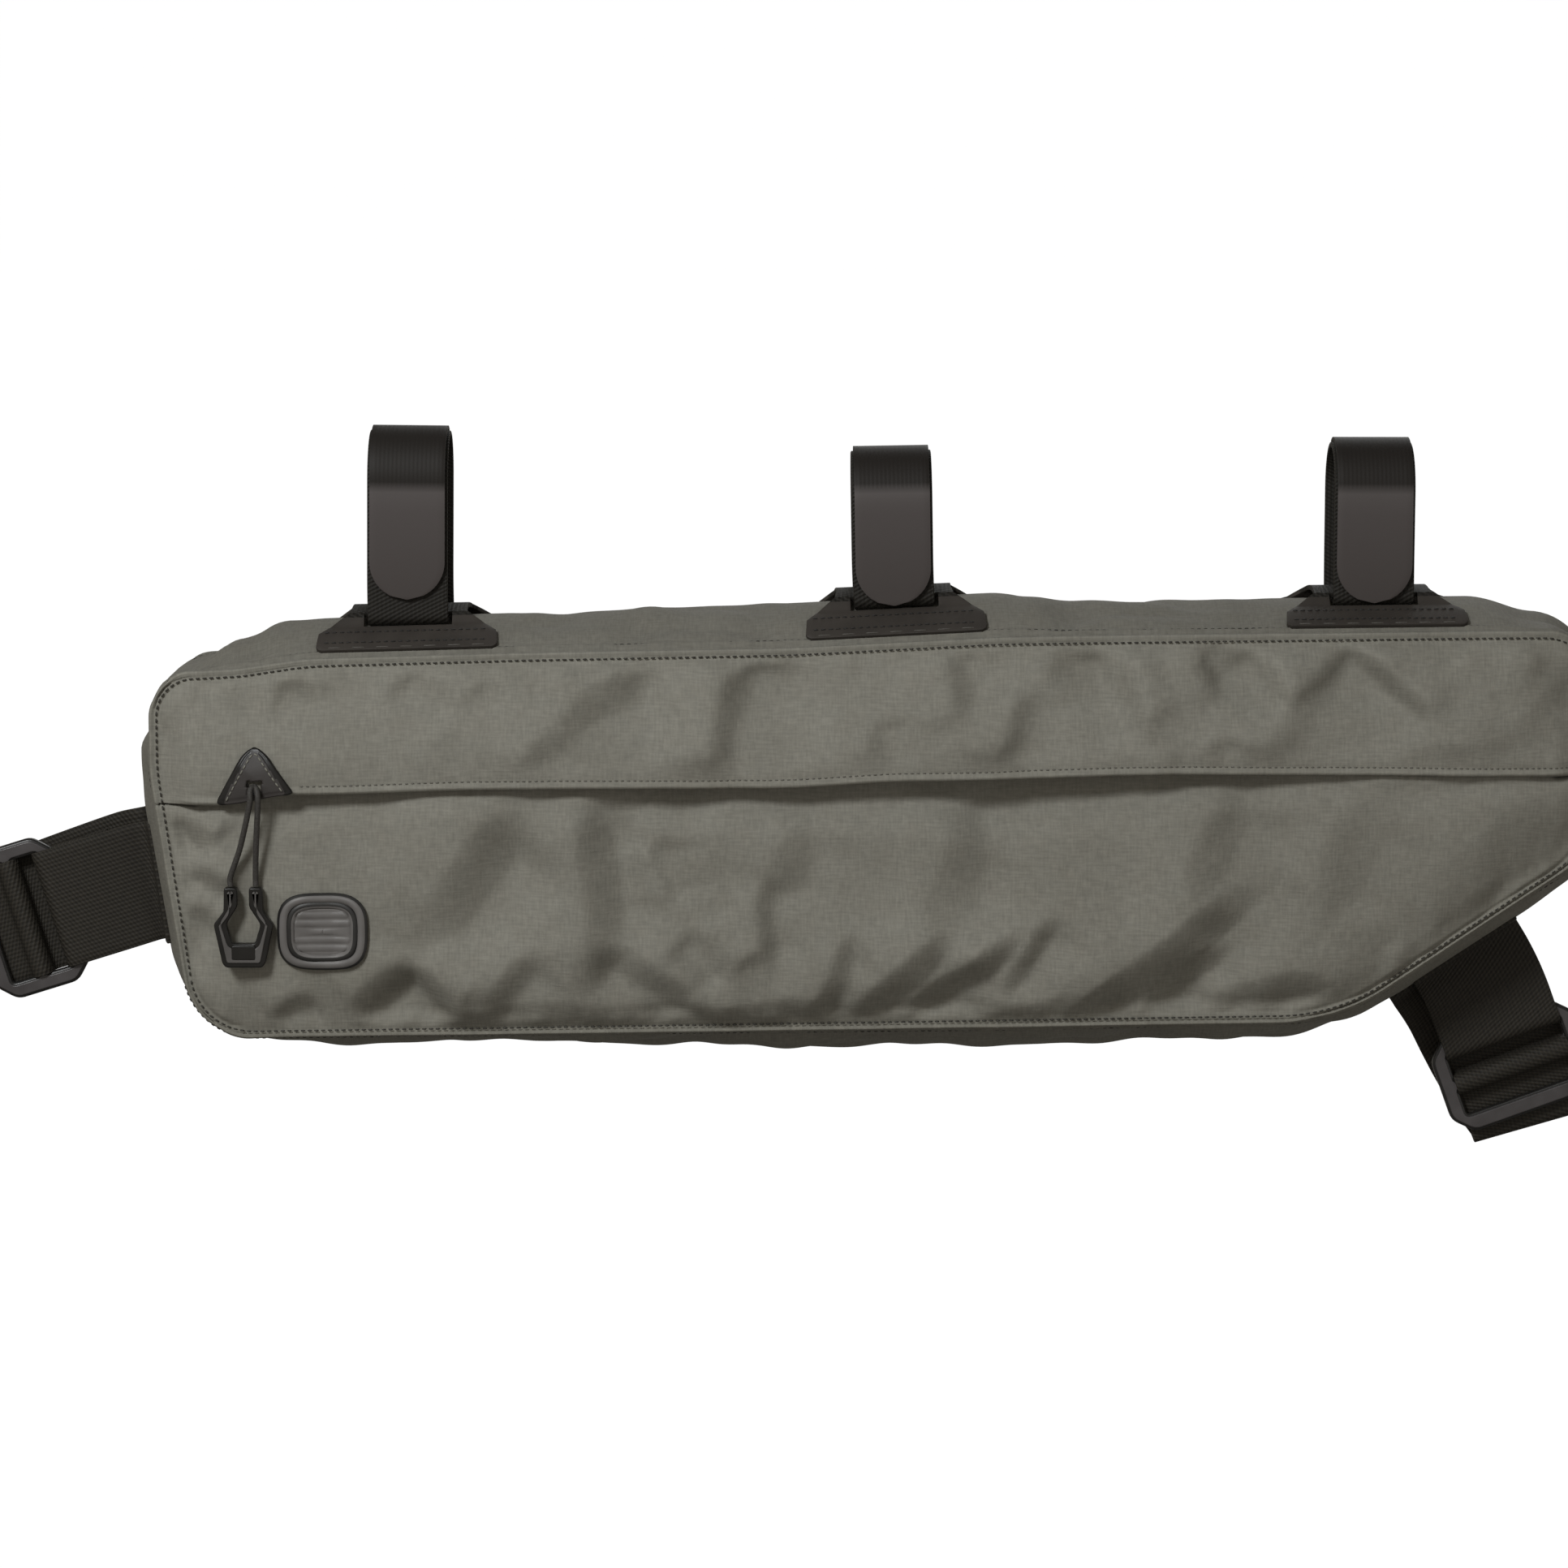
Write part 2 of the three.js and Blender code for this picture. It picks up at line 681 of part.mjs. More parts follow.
// A rounded triangle with its base along the flap's edge and a hole for the cord.
function buildGarage() {
  const levels = [
    { up: 0, narrow: 3.5 },
    { up: HOLE_ABOVE_BASE / GARAGE_HEIGHT, narrow: 0.6 },
    { up: (HOLE_ABOVE_BASE + HOLE_HEIGHT) / GARAGE_HEIGHT, narrow: 0 },
    { up: 0.58, narrow: 0 },
    { up: 0.8, narrow: 0 },
    { up: 0.93, narrow: 0.3 },
    { up: 1, narrow: 1.6 },
  ];
  const hole = HOLE_WIDTH / 2;
  const place = (lift) => (i, j) => {
    const level = levels[j];
    const half = lerp(GARAGE_WIDTH, GARAGE_TIP_WIDTH, level.up) / 2 - level.narrow;
    const inner = Math.min(hole, half / 2);
    const x = garageX + [-half, -(half + inner) / 2, -inner, inner, (half + inner) / 2, half][i];
    const slope = (flapEdge(x) - flapEdge(garageX)) * (1 - level.up);
    const z = garageZ + slope + level.up * GARAGE_HEIGHT;
    return new THREE.Vector3(x + OFFSET_X, -flapFace(x, z) - lift, z + OFFSET_Z);
  };
  return sheet({
    columns: 6,
    rows: levels.length,
    outer: place(0.5 + CLOTH),
    inner: place(0.5),
    has: (i, j) => i !== 2 || j !== 1,
  });
}

// Places a flat shape drawn in x and z so that it faces the front, with its back at a given depth.
function facingFront(geometry, x, y, z) {
  return geometry.rotateX(Math.PI / 2).translate(x + OFFSET_X, y, z + OFFSET_Z);
}

const holeZ = garageZ + HOLE_ABOVE_BASE + HOLE_HEIGHT / 2;
const holeY = -flapFace(garageX, holeZ) - 0.5;

// The slider lies in the flap's notch, between the garage patch and the lower panel.
function buildSlider() {
  const deep = FLAP_LIFT - 1;
  const body = new THREE.BoxGeometry(HOLE_WIDTH, deep, HOLE_HEIGHT);
  return body.translate(garageX + OFFSET_X, holeY + 0.9 + deep / 2, holeZ - 1 + OFFSET_Z);
}

// The pull hangs flat in front of the panel, clear of it at every corner.
const pullX = garageX + PULL_LEAN;
const pullTop = holeZ - CORD_DROP;
function pullBack() {
  let clear = 0;
  for (const across of [-0.5, 0, 0.5]) {
    for (const down of [0, 0.25, 0.5, 0.75, 1]) {
      clear = Math.max(clear, frontFace(pullX + across * PULL_WIDTH, pullTop - down * PULL_HEIGHT));
    }
  }
  return -clear - 0.6;
}
const pullMiddleY = pullBack() - PULL_THICKNESS / 2;

// Half of the pull's outline from the arm's inner top, round the outside, to the middle of the foot,
// as shares of half its width and of its height.
const PULL_HALF = [
  { across: 0.2, down: 0 },
  { across: 0.64, down: 0 },
  { across: 0.66, down: 0.3 },
  { across: 1, down: 0.46 },
  { across: 0.72, down: 0.95 },
  { across: 0.6, down: 1 },
];
const PULL_INNER_HALF = [
  { across: 0.38, down: 0.7 },
  { across: 0.58, down: 0.46 },
  { across: 0.2, down: 0.24 },
];

function buildPull() {
  const bevel = 0.6;
  const toPoint = (side) => (entry) => new THREE.Vector2(
    side * entry.across * (PULL_WIDTH / 2),
    -entry.down * PULL_HEIGHT,
  );
  const right = PULL_HALF.map(toPoint(1));
  const left = PULL_HALF.map(toPoint(-1)).reverse();
  const innerLeft = PULL_INNER_HALF.map(toPoint(-1)).reverse();
  const innerRight = PULL_INNER_HALF.map(toPoint(1));
  const shape = new THREE.Shape([...right, ...left, ...innerLeft, ...innerRight]);
  const geometry = new THREE.ExtrudeGeometry(shape, {
    depth: PULL_THICKNESS - 2 * bevel,
    bevelThickness: bevel,
    bevelSize: bevel,
    bevelOffset: -bevel,
    bevelSegments: 1,
  });
  geometry.translate(0, 0, bevel - PULL_THICKNESS / 2);
  return facingFront(geometry, pullX, pullMiddleY, pullTop);
}

// A cord that comes out of the garage's hole, and ends just above the two arms of the pull.
function buildCord() {
  const arm = (0.2 + 0.64) / 4 * PULL_WIDTH;
  const top = holeZ;
  const bend = CORD_SPREAD / 2;
  const out = holeY - CLOTH - CORD_DIAMETER / 2 - GAP;
  const ends = pullTop + GAP;
  const at = (x, y, z) => new THREE.Vector3(x + OFFSET_X, y, z + OFFSET_Z);
  const inside = holeY - CORD_DIAMETER / 2 - GAP;
  const path = new THREE.CatmullRomCurve3([
    at(pullX - arm, pullMiddleY, ends),
    at(pullX - arm, pullMiddleY, ends + 3),
    at(lerp(pullX - arm, garageX - bend, 0.5), lerp(pullMiddleY, out, 0.5), lerp(ends, top, 0.4)),
    at(garageX - bend, out - 0.8, top - 5),
    at(garageX - bend * 0.8, out - 0.3, top - 0.6),
    at(garageX, inside - 0.2, top + 0.6),
    at(garageX + bend * 0.8, out - 0.3, top - 0.6),
    at(garageX + bend, out - 0.8, top - 5),
    at(lerp(pullX + arm, garageX + bend, 0.3), lerp(pullMiddleY, out, 0.5), lerp(ends, top, 0.4)),
    at(pullX + arm, pullMiddleY, ends + 3),
    at(pullX + arm, pullMiddleY, ends),
  ]);
  const ring = new THREE.Shape();
  ring.absarc(0, 0, CORD_DIAMETER / 2, 0, 2 * Math.PI);
  return new THREE.ExtrudeGeometry(ring, { steps: 28, curveSegments: 4, extrudePath: path });
}

// A rounded rubber patch with a raised rim, bent to the panel behind it.
function buildBadge() {
  const around = 24;
  const midX = BADGE_ALONG * BAG_LENGTH;
  const midZ = BADGE_UP * BAG_HEIGHT;
  const rim = 1 - BADGE_RIM / (BADGE_WIDTH / 2);
  const rings = [
    { share: 0.02, rise: BADGE_THICKNESS - BADGE_SUNK },
    { share: 0.5, rise: BADGE_THICKNESS - BADGE_SUNK },
    { share: rim, rise: BADGE_THICKNESS - BADGE_SUNK },
    { share: rim + 0.04, rise: BADGE_THICKNESS },
    { share: 0.96, rise: BADGE_THICKNESS },
    { share: 1, rise: BADGE_THICKNESS * 0.7 },
  ];
  const place = (isOuter) => (i, j) => {
    const angle = (2 * Math.PI * i) / around;
    const power = 2 / BADGE_ROUNDNESS;
    const stretchX = Math.sign(Math.cos(angle)) * Math.abs(Math.cos(angle)) ** power;
    const stretchZ = Math.sign(Math.sin(angle)) * Math.abs(Math.sin(angle)) ** power;
    const x = midX + rings[j].share * stretchX * (BADGE_WIDTH / 2);
    const z = midZ + rings[j].share * stretchZ * (BADGE_HEIGHT / 2);
    const rise = 0.5 + (isOuter ? rings[j].rise : 0);
    return new THREE.Vector3(x + OFFSET_X, -frontFace(x, z) - rise, z + OFFSET_Z);
  };
  return sheet({
    columns: around,
    rows: rings.length,
    outer: place(true),
    inner: place(false),
    wraps: true,
  });
}

// The frame of one loop: it stands on the gusset's crest, square to the top edge.
function loopPlacer(loop) {
  const x = loop.along * BAG_LENGTH;
  const crest = topOutlineAt(x);
  const baseX = x + crest.nx * (EDGE + crest.bulge) + OFFSET_X;
  const baseZ = crest.z + crest.nz * (EDGE + crest.bulge) + OFFSET_Z;
  const place = (y, up, across) => {
    const share = clamp(up / LEAN_OVER, 0, 1);
    const lean = radians(loop.lean) * share;
    const aside = radians(loop.lean) * (up - LEAN_OVER * (share - share * share / 2)) * Math.sign(share);
    const rise = up - across * Math.sin(lean);
    const shift = aside + across * Math.cos(lean);
    return new THREE.Vector3(
      baseX + rise * crest.nx + shift * crest.nz,
      y,
      baseZ + rise * crest.nz - shift * crest.nx,
    );
  };
  return { place, bulge: crest.bulge };
}

// The gusset's crest falls away towards both panels: its height at y below the crest.
const crestFall = (bulge, y) => gussetRise(bulge, y / (BAG_WIDTH / 2 - GAP)) - bulge;

// The side view of a loop as {s: y, t: up} points, from under the plate round the tube and back.
function loopPath(loop, bulge) {
  const slot = SLOT_APART / 2;
  const leg = LOOP_DEPTH / 2 - LOOP_THICKNESS / 2;
  const under = GAP + LOOP_THICKNESS / 2;
  const bend = 1.7;
  const top = loop.height - LOOP_THICKNESS / 2;
  const near = slot - bend - 2;
  const fall = crestFall(bulge, slot - bend);
  const path = [{ s: 0, t: under }, { s: near, t: under + crestFall(bulge, near) }];
  addArc(path, slot - bend, under + fall + bend, bend, -90, 0, 3);
  path.push({ s: slot, t: under + bend + PLATE_THICKNESS + 3 });
  path.push({ s: leg, t: 0.4 * loop.height });
  addArc(path, 0, top - leg, leg, 0, 180, 12);
  path.push({ s: -leg, t: 0.4 * loop.height });
  path.push({ s: -slot, t: under + bend + PLATE_THICKNESS + 3 });
  addArc(path, -slot + bend, under + fall + bend, bend, 180, 270, 3);
  path.push({ s: -near, t: under + crestFall(bulge, near) });
  return path;
}

function buildLoop(loop) {
  const { place, bulge } = loopPlacer(loop);
  return band(loopPath(loop, bulge), LOOP_THICKNESS, LOOP_WIDTH / 2, place, true);
}

// The tab lies on the outside of the loop, from behind its top down the front leg to a round end.
function buildTab(loop) {
  const { place } = loopPlacer(loop);
  const away = LOOP_THICKNESS / 2 + GAP + TAB_THICKNESS / 2;
  const leg = LOOP_DEPTH / 2 - LOOP_THICKNESS / 2;
  const middle = loop.height - LOOP_THICKNESS / 2 - leg;
  const path = [];
  addArc(path, 0, middle, leg + away, TAB_START, 180, 8);
  const half = TAB_WIDTH / 2;
  // The front leg may lean towards its slot, and the tab leans with it.
  const slot = SLOT_APART / 2;
  const kneeUp = 0.4 * loop.height;
  const endUp = loop.tabEnd;
  const footUp = GAP + LOOP_THICKNESS / 2 + 1.7 + PLATE_THICKNESS + 3;
  const lean = (up) => lerp(leg, slot, clamp((kneeUp - up) / (kneeUp - footUp), 0, 1));
  if (kneeUp > endUp + half + 1) path.push({ s: -leg - away, t: kneeUp });
  for (const share of [1, 0.82, 0.62, 0.42, 0.24, 0.1, 0.02]) {
    const up = endUp + share * half;
    const halfWidth = half * Math.sqrt(1 - (1 - share) ** 2);
    path.push({ s: -lean(up) - away, t: up, halfWidth });
  }
  return band(path, TAB_THICKNESS, half, place);
}

// A stitched anchor that follows the gusset, raised between its two slots to let the loop pass under it.
function buildPlate(loop) {
  const { place, bulge } = loopPlacer(loop);
  const slot = SLOT_APART / 2;
  const opening = LOOP_THICKNESS / 2 + SLOT_SPARE;
  const under = LOOP_THICKNESS + 2 * GAP;
  const raised = under + 0.3;
  const slotHalf = LOOP_WIDTH / 2 + SLOT_SPARE;
  const flange = PLATE_WIDTH / 2;
  const waist = PLATE_WAIST / 2;
  const front = [
    { y: PLATE_REACH, half: flange - 1.5, raise: 0.4 },
    { y: PLATE_REACH - 1.5, half: flange, raise: 0.4 },
    { y: lerp(slot, PLATE_REACH, 0.45), half: flange - 0.5, raise: 0.4 },
    { y: slot + opening, half: flange - 4, raise: 0.4 },
    { y: slot - opening, half: waist + 0.5, raise: raised + 0.2 },
    { y: 0.45 * slot, half: waist, raise: raised },
  ];
  const back = front.map((level) => ({ ...level, y: -level.y })).reverse();
  const levels = [...front, ...back];
  const columnAt = (half, i) => [-half, -slotHalf, slotHalf, half][i];
  const layer = (lift) => (i, j) => {
    const { y, half, raise } = levels[j];
    return place(y, crestFall(bulge, y) + raise + lift, columnAt(half, i));
  };
  const slots = [3, levels.length - 5];
  return sheet({
    columns: 4,
    rows: levels.length,
    outer: layer(PLATE_THICKNESS),
    inner: layer(0),
    has: (i, j) => i !== 1 || !slots.includes(j),
  });
}

// Finds a named outline corner and the one after it, to place a strap between them.
function edgeDistance(strap) {
  const names = OUTLINE_CORNERS.map((corner) => corner.name);
  const at = names.indexOf(strap.edge);
  const from = marks[strap.edge];
  const next = marks[names[(at + 1) % names.length]];
  return lerp(from, next > from ? next : next + total, strap.share);
}

// The strap leaves the gusset square to its edge and sags: straight through the buckle, bent either side.
function strapPlacer(strap) {
  const root = outlineAt(edgeDistance(strap));
  const start = Math.atan2(root.nz, root.nx);
  const buckleEnd = strap.buckleAt + BUCKLE_HEIGHT / 2;
  const angleAt = (s) => {
    const first = strap.buckleTurn * clamp(s / strap.turnOver, 0, 1);
    const room = strap.length + WEBBING * 2 - buckleEnd;
    const second = (strap.endTurn - strap.buckleTurn) * clamp((s - buckleEnd) / room, 0, 1);
    return start + radians(first + second);
  };
  const base = { x: root.x + root.nx * (EDGE + root.bulge), z: root.z + root.nz * (EDGE + root.bulge) };
  const centreAt = (s) => {
    const steps = Math.max(1, Math.ceil(Math.abs(s)));
    const step = s / steps;
    let { x, z } = base;
    for (let k = 0; k < steps; k++) {
      const angle = angleAt((k + 0.5) * step);
      x += step * Math.cos(angle);
      z += step * Math.sin(angle);
    }
    return { x, z };
  };
  const place = (s, t, across) => {
    const centre = centreAt(s);
    const angle = angleAt(s);
    return new THREE.Vector3(
      centre.x - across * Math.sin(angle) + OFFSET_X,
      -t,
      centre.z + across * Math.cos(angle) + OFFSET_Z,
    );
  };
  return { place, bulge: root.bulge };
}

// A foot sewn flat on the gusset, then turned up to stand square to it; side is 1 for the front.
function footPath(bulge, side, standing) {
  const reach = BAG_WIDTH / 2 - GAP;
  const lift = WEBBING / 2 + 0.45;
  const bend = 2.2;
  const path = [];
  const near = standing + bend;
  for (const share of [1, 0.65, 0.3]) {
    const t = lerp(near, FOOT_LENGTH, share);
    path.push({ s: gussetRise(bulge, t / reach) - bulge + lift, t: side * t });
  }
  path.push({ s: gussetRise(bulge, near / reach) - bulge + lift + 0.1, t: side * near });
  path.push({ s: lift + 0.9, t: side * (standing + 0.6) });
  path.push({ s: lift + bend + 0.6, t: side * standing });
  return path;
}

const WRAP = BAR_THICKNESS / 2 + GAP + WEBBING / 2;
const BELOW = WRAP + WEBBING + GAP;
const REAR = BELOW + WEBBING + 0.5;

// The short webbing: from its foot over the buckle's first bar and back under it.
function buildAnchor(strap) {
  const { place, bulge } = strapPlacer(strap);
  const bar = strap.buckleAt - BAR_PITCH;
  const path = footPath(bulge, 1, 1.5);
  path.push({ s: 9, t: WRAP });
  addArc(path, bar, 0, WRAP, 90, -90, 6);
  path.push({ s: bar - RETURN_LENGTH, t: -WRAP });
  return band(path, WEBBING, WEBBING_WIDTH / 2, place);
}

// The long webbing: behind the buckle to its end fold, back over the middle bar and down to a tail.
function buildWebbing(strap) {
  const { place, bulge } = strapPlacer(strap);
  const path = footPath(bulge, -1, 1.7);
  path.push({ s: 9.5, t: -REAR });
  path.push({ s: strap.buckleAt, t: -REAR });
  const rear = path.length;
  const fold = (REAR - WRAP) / 2;
  addArc(path, strap.length - fold, -(REAR + WRAP) / 2, fold, -90, 90, 6);
  const bar = strap.buckleAt;
  addArc(path, bar + 2 * WRAP, 0, WRAP, 270, 180, 4);
  addArc(path, bar, 0, WRAP, 30, 180, 5);
  const turn = 2.2;
  addArc(path, bar - WRAP - turn, turn - BELOW, turn, 0, -90, 3);
  path.push({ s: TAIL_FROM_ROOT, t: -BELOW });
  path.forEach((point, i) => {
    const along = clamp(point.s / strap.length, 0, 1);
    point.shift = i < rear ? strap.rearShift * (1 - along * along) : 0;
  });
  return band(path, WEBBING, WEBBING_WIDTH / 2, place);
}

// A three-bar slider, drawn flat with its bars across and stood in the strap.
function buildBuckle(strap) {
  const { place } = strapPlacer(strap);
  const long = BUCKLE_WIDTH / 2;
  const tall = BUCKLE_HEIGHT / 2;
  const cut = BUCKLE_CHAMFER;
  const shape = new THREE.Shape([
    new THREE.Vector2(-tall + cut, -long),
    new THREE.Vector2(tall - cut, -long),
    new THREE.Vector2(tall, -long + cut),
    new THREE.Vector2(tall, long - cut),
    new THREE.Vector2(tall - cut, long),
    new THREE.Vector2(-tall + cut, long),
    new THREE.Vector2(-tall, long - cut),
    new THREE.Vector2(-tall, -long + cut),
  ]);
  const slotHalf = WEBBING_WIDTH / 2 + 1;
  const near = BAR_THICKNESS / 2;
  const far = BAR_PITCH - BAR_THICKNESS / 2;
  const round = 1.2;
  for (const side of [-1, 1]) {
    const corners = [
      [near, -slotHalf + round],
      [near, slotHalf - round],
      [near + round, slotHalf],
      [far - round, slotHalf],
      [far, slotHalf - round],
      [far, -slotHalf + round],
      [far - round, -slotHalf],
      [near + round, -slotHalf],
    ];
    shape.holes.push(new THREE.Path(corners.map(([s, w]) => new THREE.Vector2(side * s, w))));
  }
  const geometry = new THREE.ExtrudeGeometry(shape, {
    depth: BAR_THICKNESS - 2 * BAR_BEVEL,
    bevelThickness: BAR_BEVEL,
    bevelSize: BAR_BEVEL,
    bevelOffset: -BAR_BEVEL,
    bevelSegments: 1,
  });
  geometry.translate(0, 0, BAR_BEVEL - BAR_THICKNESS / 2);
  const centre = place(strap.buckleAt, 0, 0);
  const along = place(strap.buckleAt + 1, 0, 0).sub(centre).normalize();
  const across = place(strap.buckleAt, 0, 1).sub(centre).normalize();
  const outward = new THREE.Vector3().crossVectors(along, across);
  const frame = new THREE.Matrix4().makeBasis(along, across, outward).setPosition(centre);
  return geometry.applyMatrix4(frame);
}

add("front_panel_upper", buildUpperPanel(), CLOTH_COLOUR);
add("front_panel_lower", buildLowerPanel(), CLOTH_COLOUR);
add("back_panel", buildBackPanel(), CLOTH_COLOUR);
add("gusset", buildGusset(), CLOTH_COLOUR);
add("zip", buildZip(), WEBBING_COLOUR);
add("zip_slider", buildSlider(), PLASTIC_COLOUR, 0.4);
add("zip_garage", buildGarage(), CLOTH_COLOUR);
add("puller_cord", buildCord(), WEBBING_COLOUR);
add("zip_pull", buildPull(), PLASTIC_COLOUR, 0.5);
add("badge", buildBadge(), TAB_COLOUR, 0.6);
LOOPS.forEach((loop, i) => {
  add(`strap_plate_${i + 1}`, buildPlate(loop), TAB_COLOUR);
  add(`strap_loop_${i + 1}`, buildLoop(loop), WEBBING_COLOUR);
  add(`strap_tab_${i + 1}`, buildTab(loop), TAB_COLOUR, 0.6);
});
for (const strap of STRAPS) {
  add(`${strap.name}_anchor`, buildAnchor(strap), WEBBING_COLOUR);
  add(`${strap.name}_buckle`, buildBuckle(strap), PLASTIC_COLOUR, 0.4);
  add(`${strap.name}_webbing`, buildWebbing(strap), WEBBING_COLOUR);
}

export default group;
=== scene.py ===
# Dresses the frame bag: sewn ripstop cloth, webbing loops and straps, moulded buckles and a zip pull.
# Sizes are millimetres in the part's own frame: X to the right, Y away from the viewer, Z up.
import math

import bmesh
import bpy
import numpy as np
from mathutils import Matrix, Vector


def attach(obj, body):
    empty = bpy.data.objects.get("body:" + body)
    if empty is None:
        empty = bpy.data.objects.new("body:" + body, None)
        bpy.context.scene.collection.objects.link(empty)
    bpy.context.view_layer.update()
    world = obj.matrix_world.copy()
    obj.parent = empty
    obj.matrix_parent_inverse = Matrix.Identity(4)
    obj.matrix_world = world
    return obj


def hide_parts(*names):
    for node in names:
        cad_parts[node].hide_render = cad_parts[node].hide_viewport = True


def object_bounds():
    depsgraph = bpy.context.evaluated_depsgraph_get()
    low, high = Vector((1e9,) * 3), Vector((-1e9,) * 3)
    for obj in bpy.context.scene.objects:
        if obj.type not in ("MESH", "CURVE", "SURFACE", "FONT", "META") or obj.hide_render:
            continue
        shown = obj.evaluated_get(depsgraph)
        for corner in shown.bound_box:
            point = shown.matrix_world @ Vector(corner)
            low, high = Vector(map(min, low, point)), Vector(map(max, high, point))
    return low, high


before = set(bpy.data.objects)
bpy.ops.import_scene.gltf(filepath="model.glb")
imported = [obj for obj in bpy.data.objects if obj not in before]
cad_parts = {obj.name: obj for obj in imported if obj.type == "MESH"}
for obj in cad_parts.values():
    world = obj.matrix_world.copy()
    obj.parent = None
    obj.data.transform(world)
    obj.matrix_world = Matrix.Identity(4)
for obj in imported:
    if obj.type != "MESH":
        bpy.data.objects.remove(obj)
cad_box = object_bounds()

MM = 0.001

# The view of the photograph
CAMERA_TARGET = (-35.0, 0.0, -82.0)
CAMERA_DISTANCE = 1600.0
CAMERA_ELEVATION = 7.4
CAMERA_LENS = 116.5
FLOOR_BELOW = 60.0

# The sewn body
BAG_LENGTH = 446.0
BAG_HEIGHT = 125.0
BAG_WIDTH = 56.0
CLOTH = 1.6
GAP = 0.3
EDGE = CLOTH / 2
SEWN_CLOTH = 1.0
GUSSET_CLOTH = 1.1
FRONT_PUFF = 7.5
BACK_PUFF = 4.0
PUFF_REACH = 46.0
TUBE_ALONG = 0.515
GUSSET_ROUNDNESS = 2.2
GUSSET_REACH = BAG_WIDTH / 2 - GAP

# The seam as a rounded polygon: shares of length and height, corner radius, and the gusset's bulge there
OUTLINE_CORNERS = [
    ("bottomLeft", 0.027, 0, 20, 6.4),
    ("bottomQuarter", 0.35, 0.0171, 300, 8.5),
    ("bottomMiddle", 0.6, 0.0306, 300, 11),
    ("bottomBend", 0.822, 0.043, 60, 8.6),
    ("lowerTip", 1, 0.47, 26, 9),
    ("topRight", 1, 1, 26, 3),
    ("topEnd", 0.915, 0.998, 300, 8.5),
    ("topDip", 0.645, 0.9864, 300, 8.5),
    ("topRise", 0.585, 0.983, 300, 11.5),
    ("topMiddle", 0.44, 0.956, 300, 11.5),
    ("topLevel", 0.25, 0.943, 300, 10.1),
    ("topShoulder", 0.108, 0.929, 100, 10.1),
    ("topFall", 0.06, 0.9035, 60, 6.5),
    ("topLeft", 0, 0.893, 17, 1.2),
    ("leftWaist", 0, 0.66, 60, 7.5),
]

# The gusset is fuller or flatter here: a corner or a share of the length along the top, amount and reach
GUSSET_SHAPING = [
    ("bottomLeft", -2.4, 26),
    (0.075, 1.3, 18),
    ("leftWaist", -1.3, 16),
    (0.94, 2.4, 14),
]

# The storm flap's lower edge: shares of length and height
FLAP_EDGE = [
    (0, 0.582), (0.045, 0.584), (0.1, 0.612), (0.25, 0.625), (0.42, 0.627), (0.53, 0.645),
    (0.71, 0.661), (0.85, 0.659), (1, 0.653),
]
FLAP_COVER = 8.0
FLAP_LIFT = 3.0
FLAP_BLEND = 24.0
FLAP_END = 12.0
FLAP_STITCH_UP = 2.6
SEAM_STITCH_IN = 1.6
GUSSET_STITCH_IN = 2.7

# The garage patch and the cord and pull below it
GARAGE_WIDTH = 25.0
GARAGE_HEIGHT = 16.2
GARAGE_ALONG = 0.0715
GARAGE_ABOVE_EDGE = 0.3
GARAGE_TIP_WIDTH = 5.0
GARAGE_ROUND_TIP = 3.6
GARAGE_ROUND_FOOT = 2.0
HOLE_WIDTH = 4.6
HOLE_HEIGHT = 4.4
HOLE_ABOVE_BASE = 1.6
GARAGE_RIM = 1.25
GARAGE_STITCH_IN = 3.0
CORD_DIAMETER = 1.8
CORD_DROP = 31.0
CORD_SPREAD = 2.6
CORD_STEPS = 10
PULL_WIDTH = 18.4
PULL_HEIGHT = 25.0
PULL_THICKNESS = 3.4
PULL_LEAN = -4.0
PULL_ROUND = 0.9
PULL_BEVEL = 0.5
PULL_RIDGE_IN = 1.55
PULL_RIDGE_THICKNESS = 0.9
PULL_RIDGE_BEVEL = 0.3
# Half of the pull's outline, of its inner edge, and the block at its foot: shares of half width and height
PULL_HALF = [(0.2, 0), (0.64, 0), (0.66, 0.3), (1, 0.46), (0.72, 0.95), (0.6, 1)]
PULL_INNER_HALF = [(0.38, 0.7), (0.58, 0.46), (0.2, 0.24)]
PULL_FOOT = [(-0.4, -0.72), (0.4, -0.72), (0.4, -0.9), (-0.4, -0.9)]

# The rubber patch
BADGE_ALONG = 0.117
BADGE_UP = 0.27
BADGE_WIDTH = 27.0
BADGE_HEIGHT = 23.0
BADGE_ROUNDNESS = 3.4
BADGE_GROOVES = ((0.0, 0.8), (1.7, 3.0))

# The loops: share of the length, height, where the tab ends above the crest, and lean in degrees
LOOPS = [
    (0.175, 58.5, 6.8, 2.2),
    (0.515, 46.5, -0.8, 2.0),
    (0.848, 49.0, -0.1, 0.8),
]
LEAN_OVER = 15.0
STRIP_STEP = 1.2
LOOP_WIDTH = 25.0
LOOP_DEPTH = 30.0
LOOP_THICKNESS = 1.6
SLOT_APART = 28.4
SLOT_SPARE = 1.2
TAB_WIDTH = 23.4
TAB_THICKNESS = 1.2
TAB_START = 65.0
TAB_DARK_LENGTHS = (33.7, 27.8, 30.6)
PLATE_WIDTH = 56.0
PLATE_WAIST = 36.0
PLATE_REACH = BAG_WIDTH / 2 - 1.5
PLATE_THICKNESS = 1.5
PLATE_STITCH_ROWS = (2.6, 7.2)
PLATE_FLANGE = 13.0

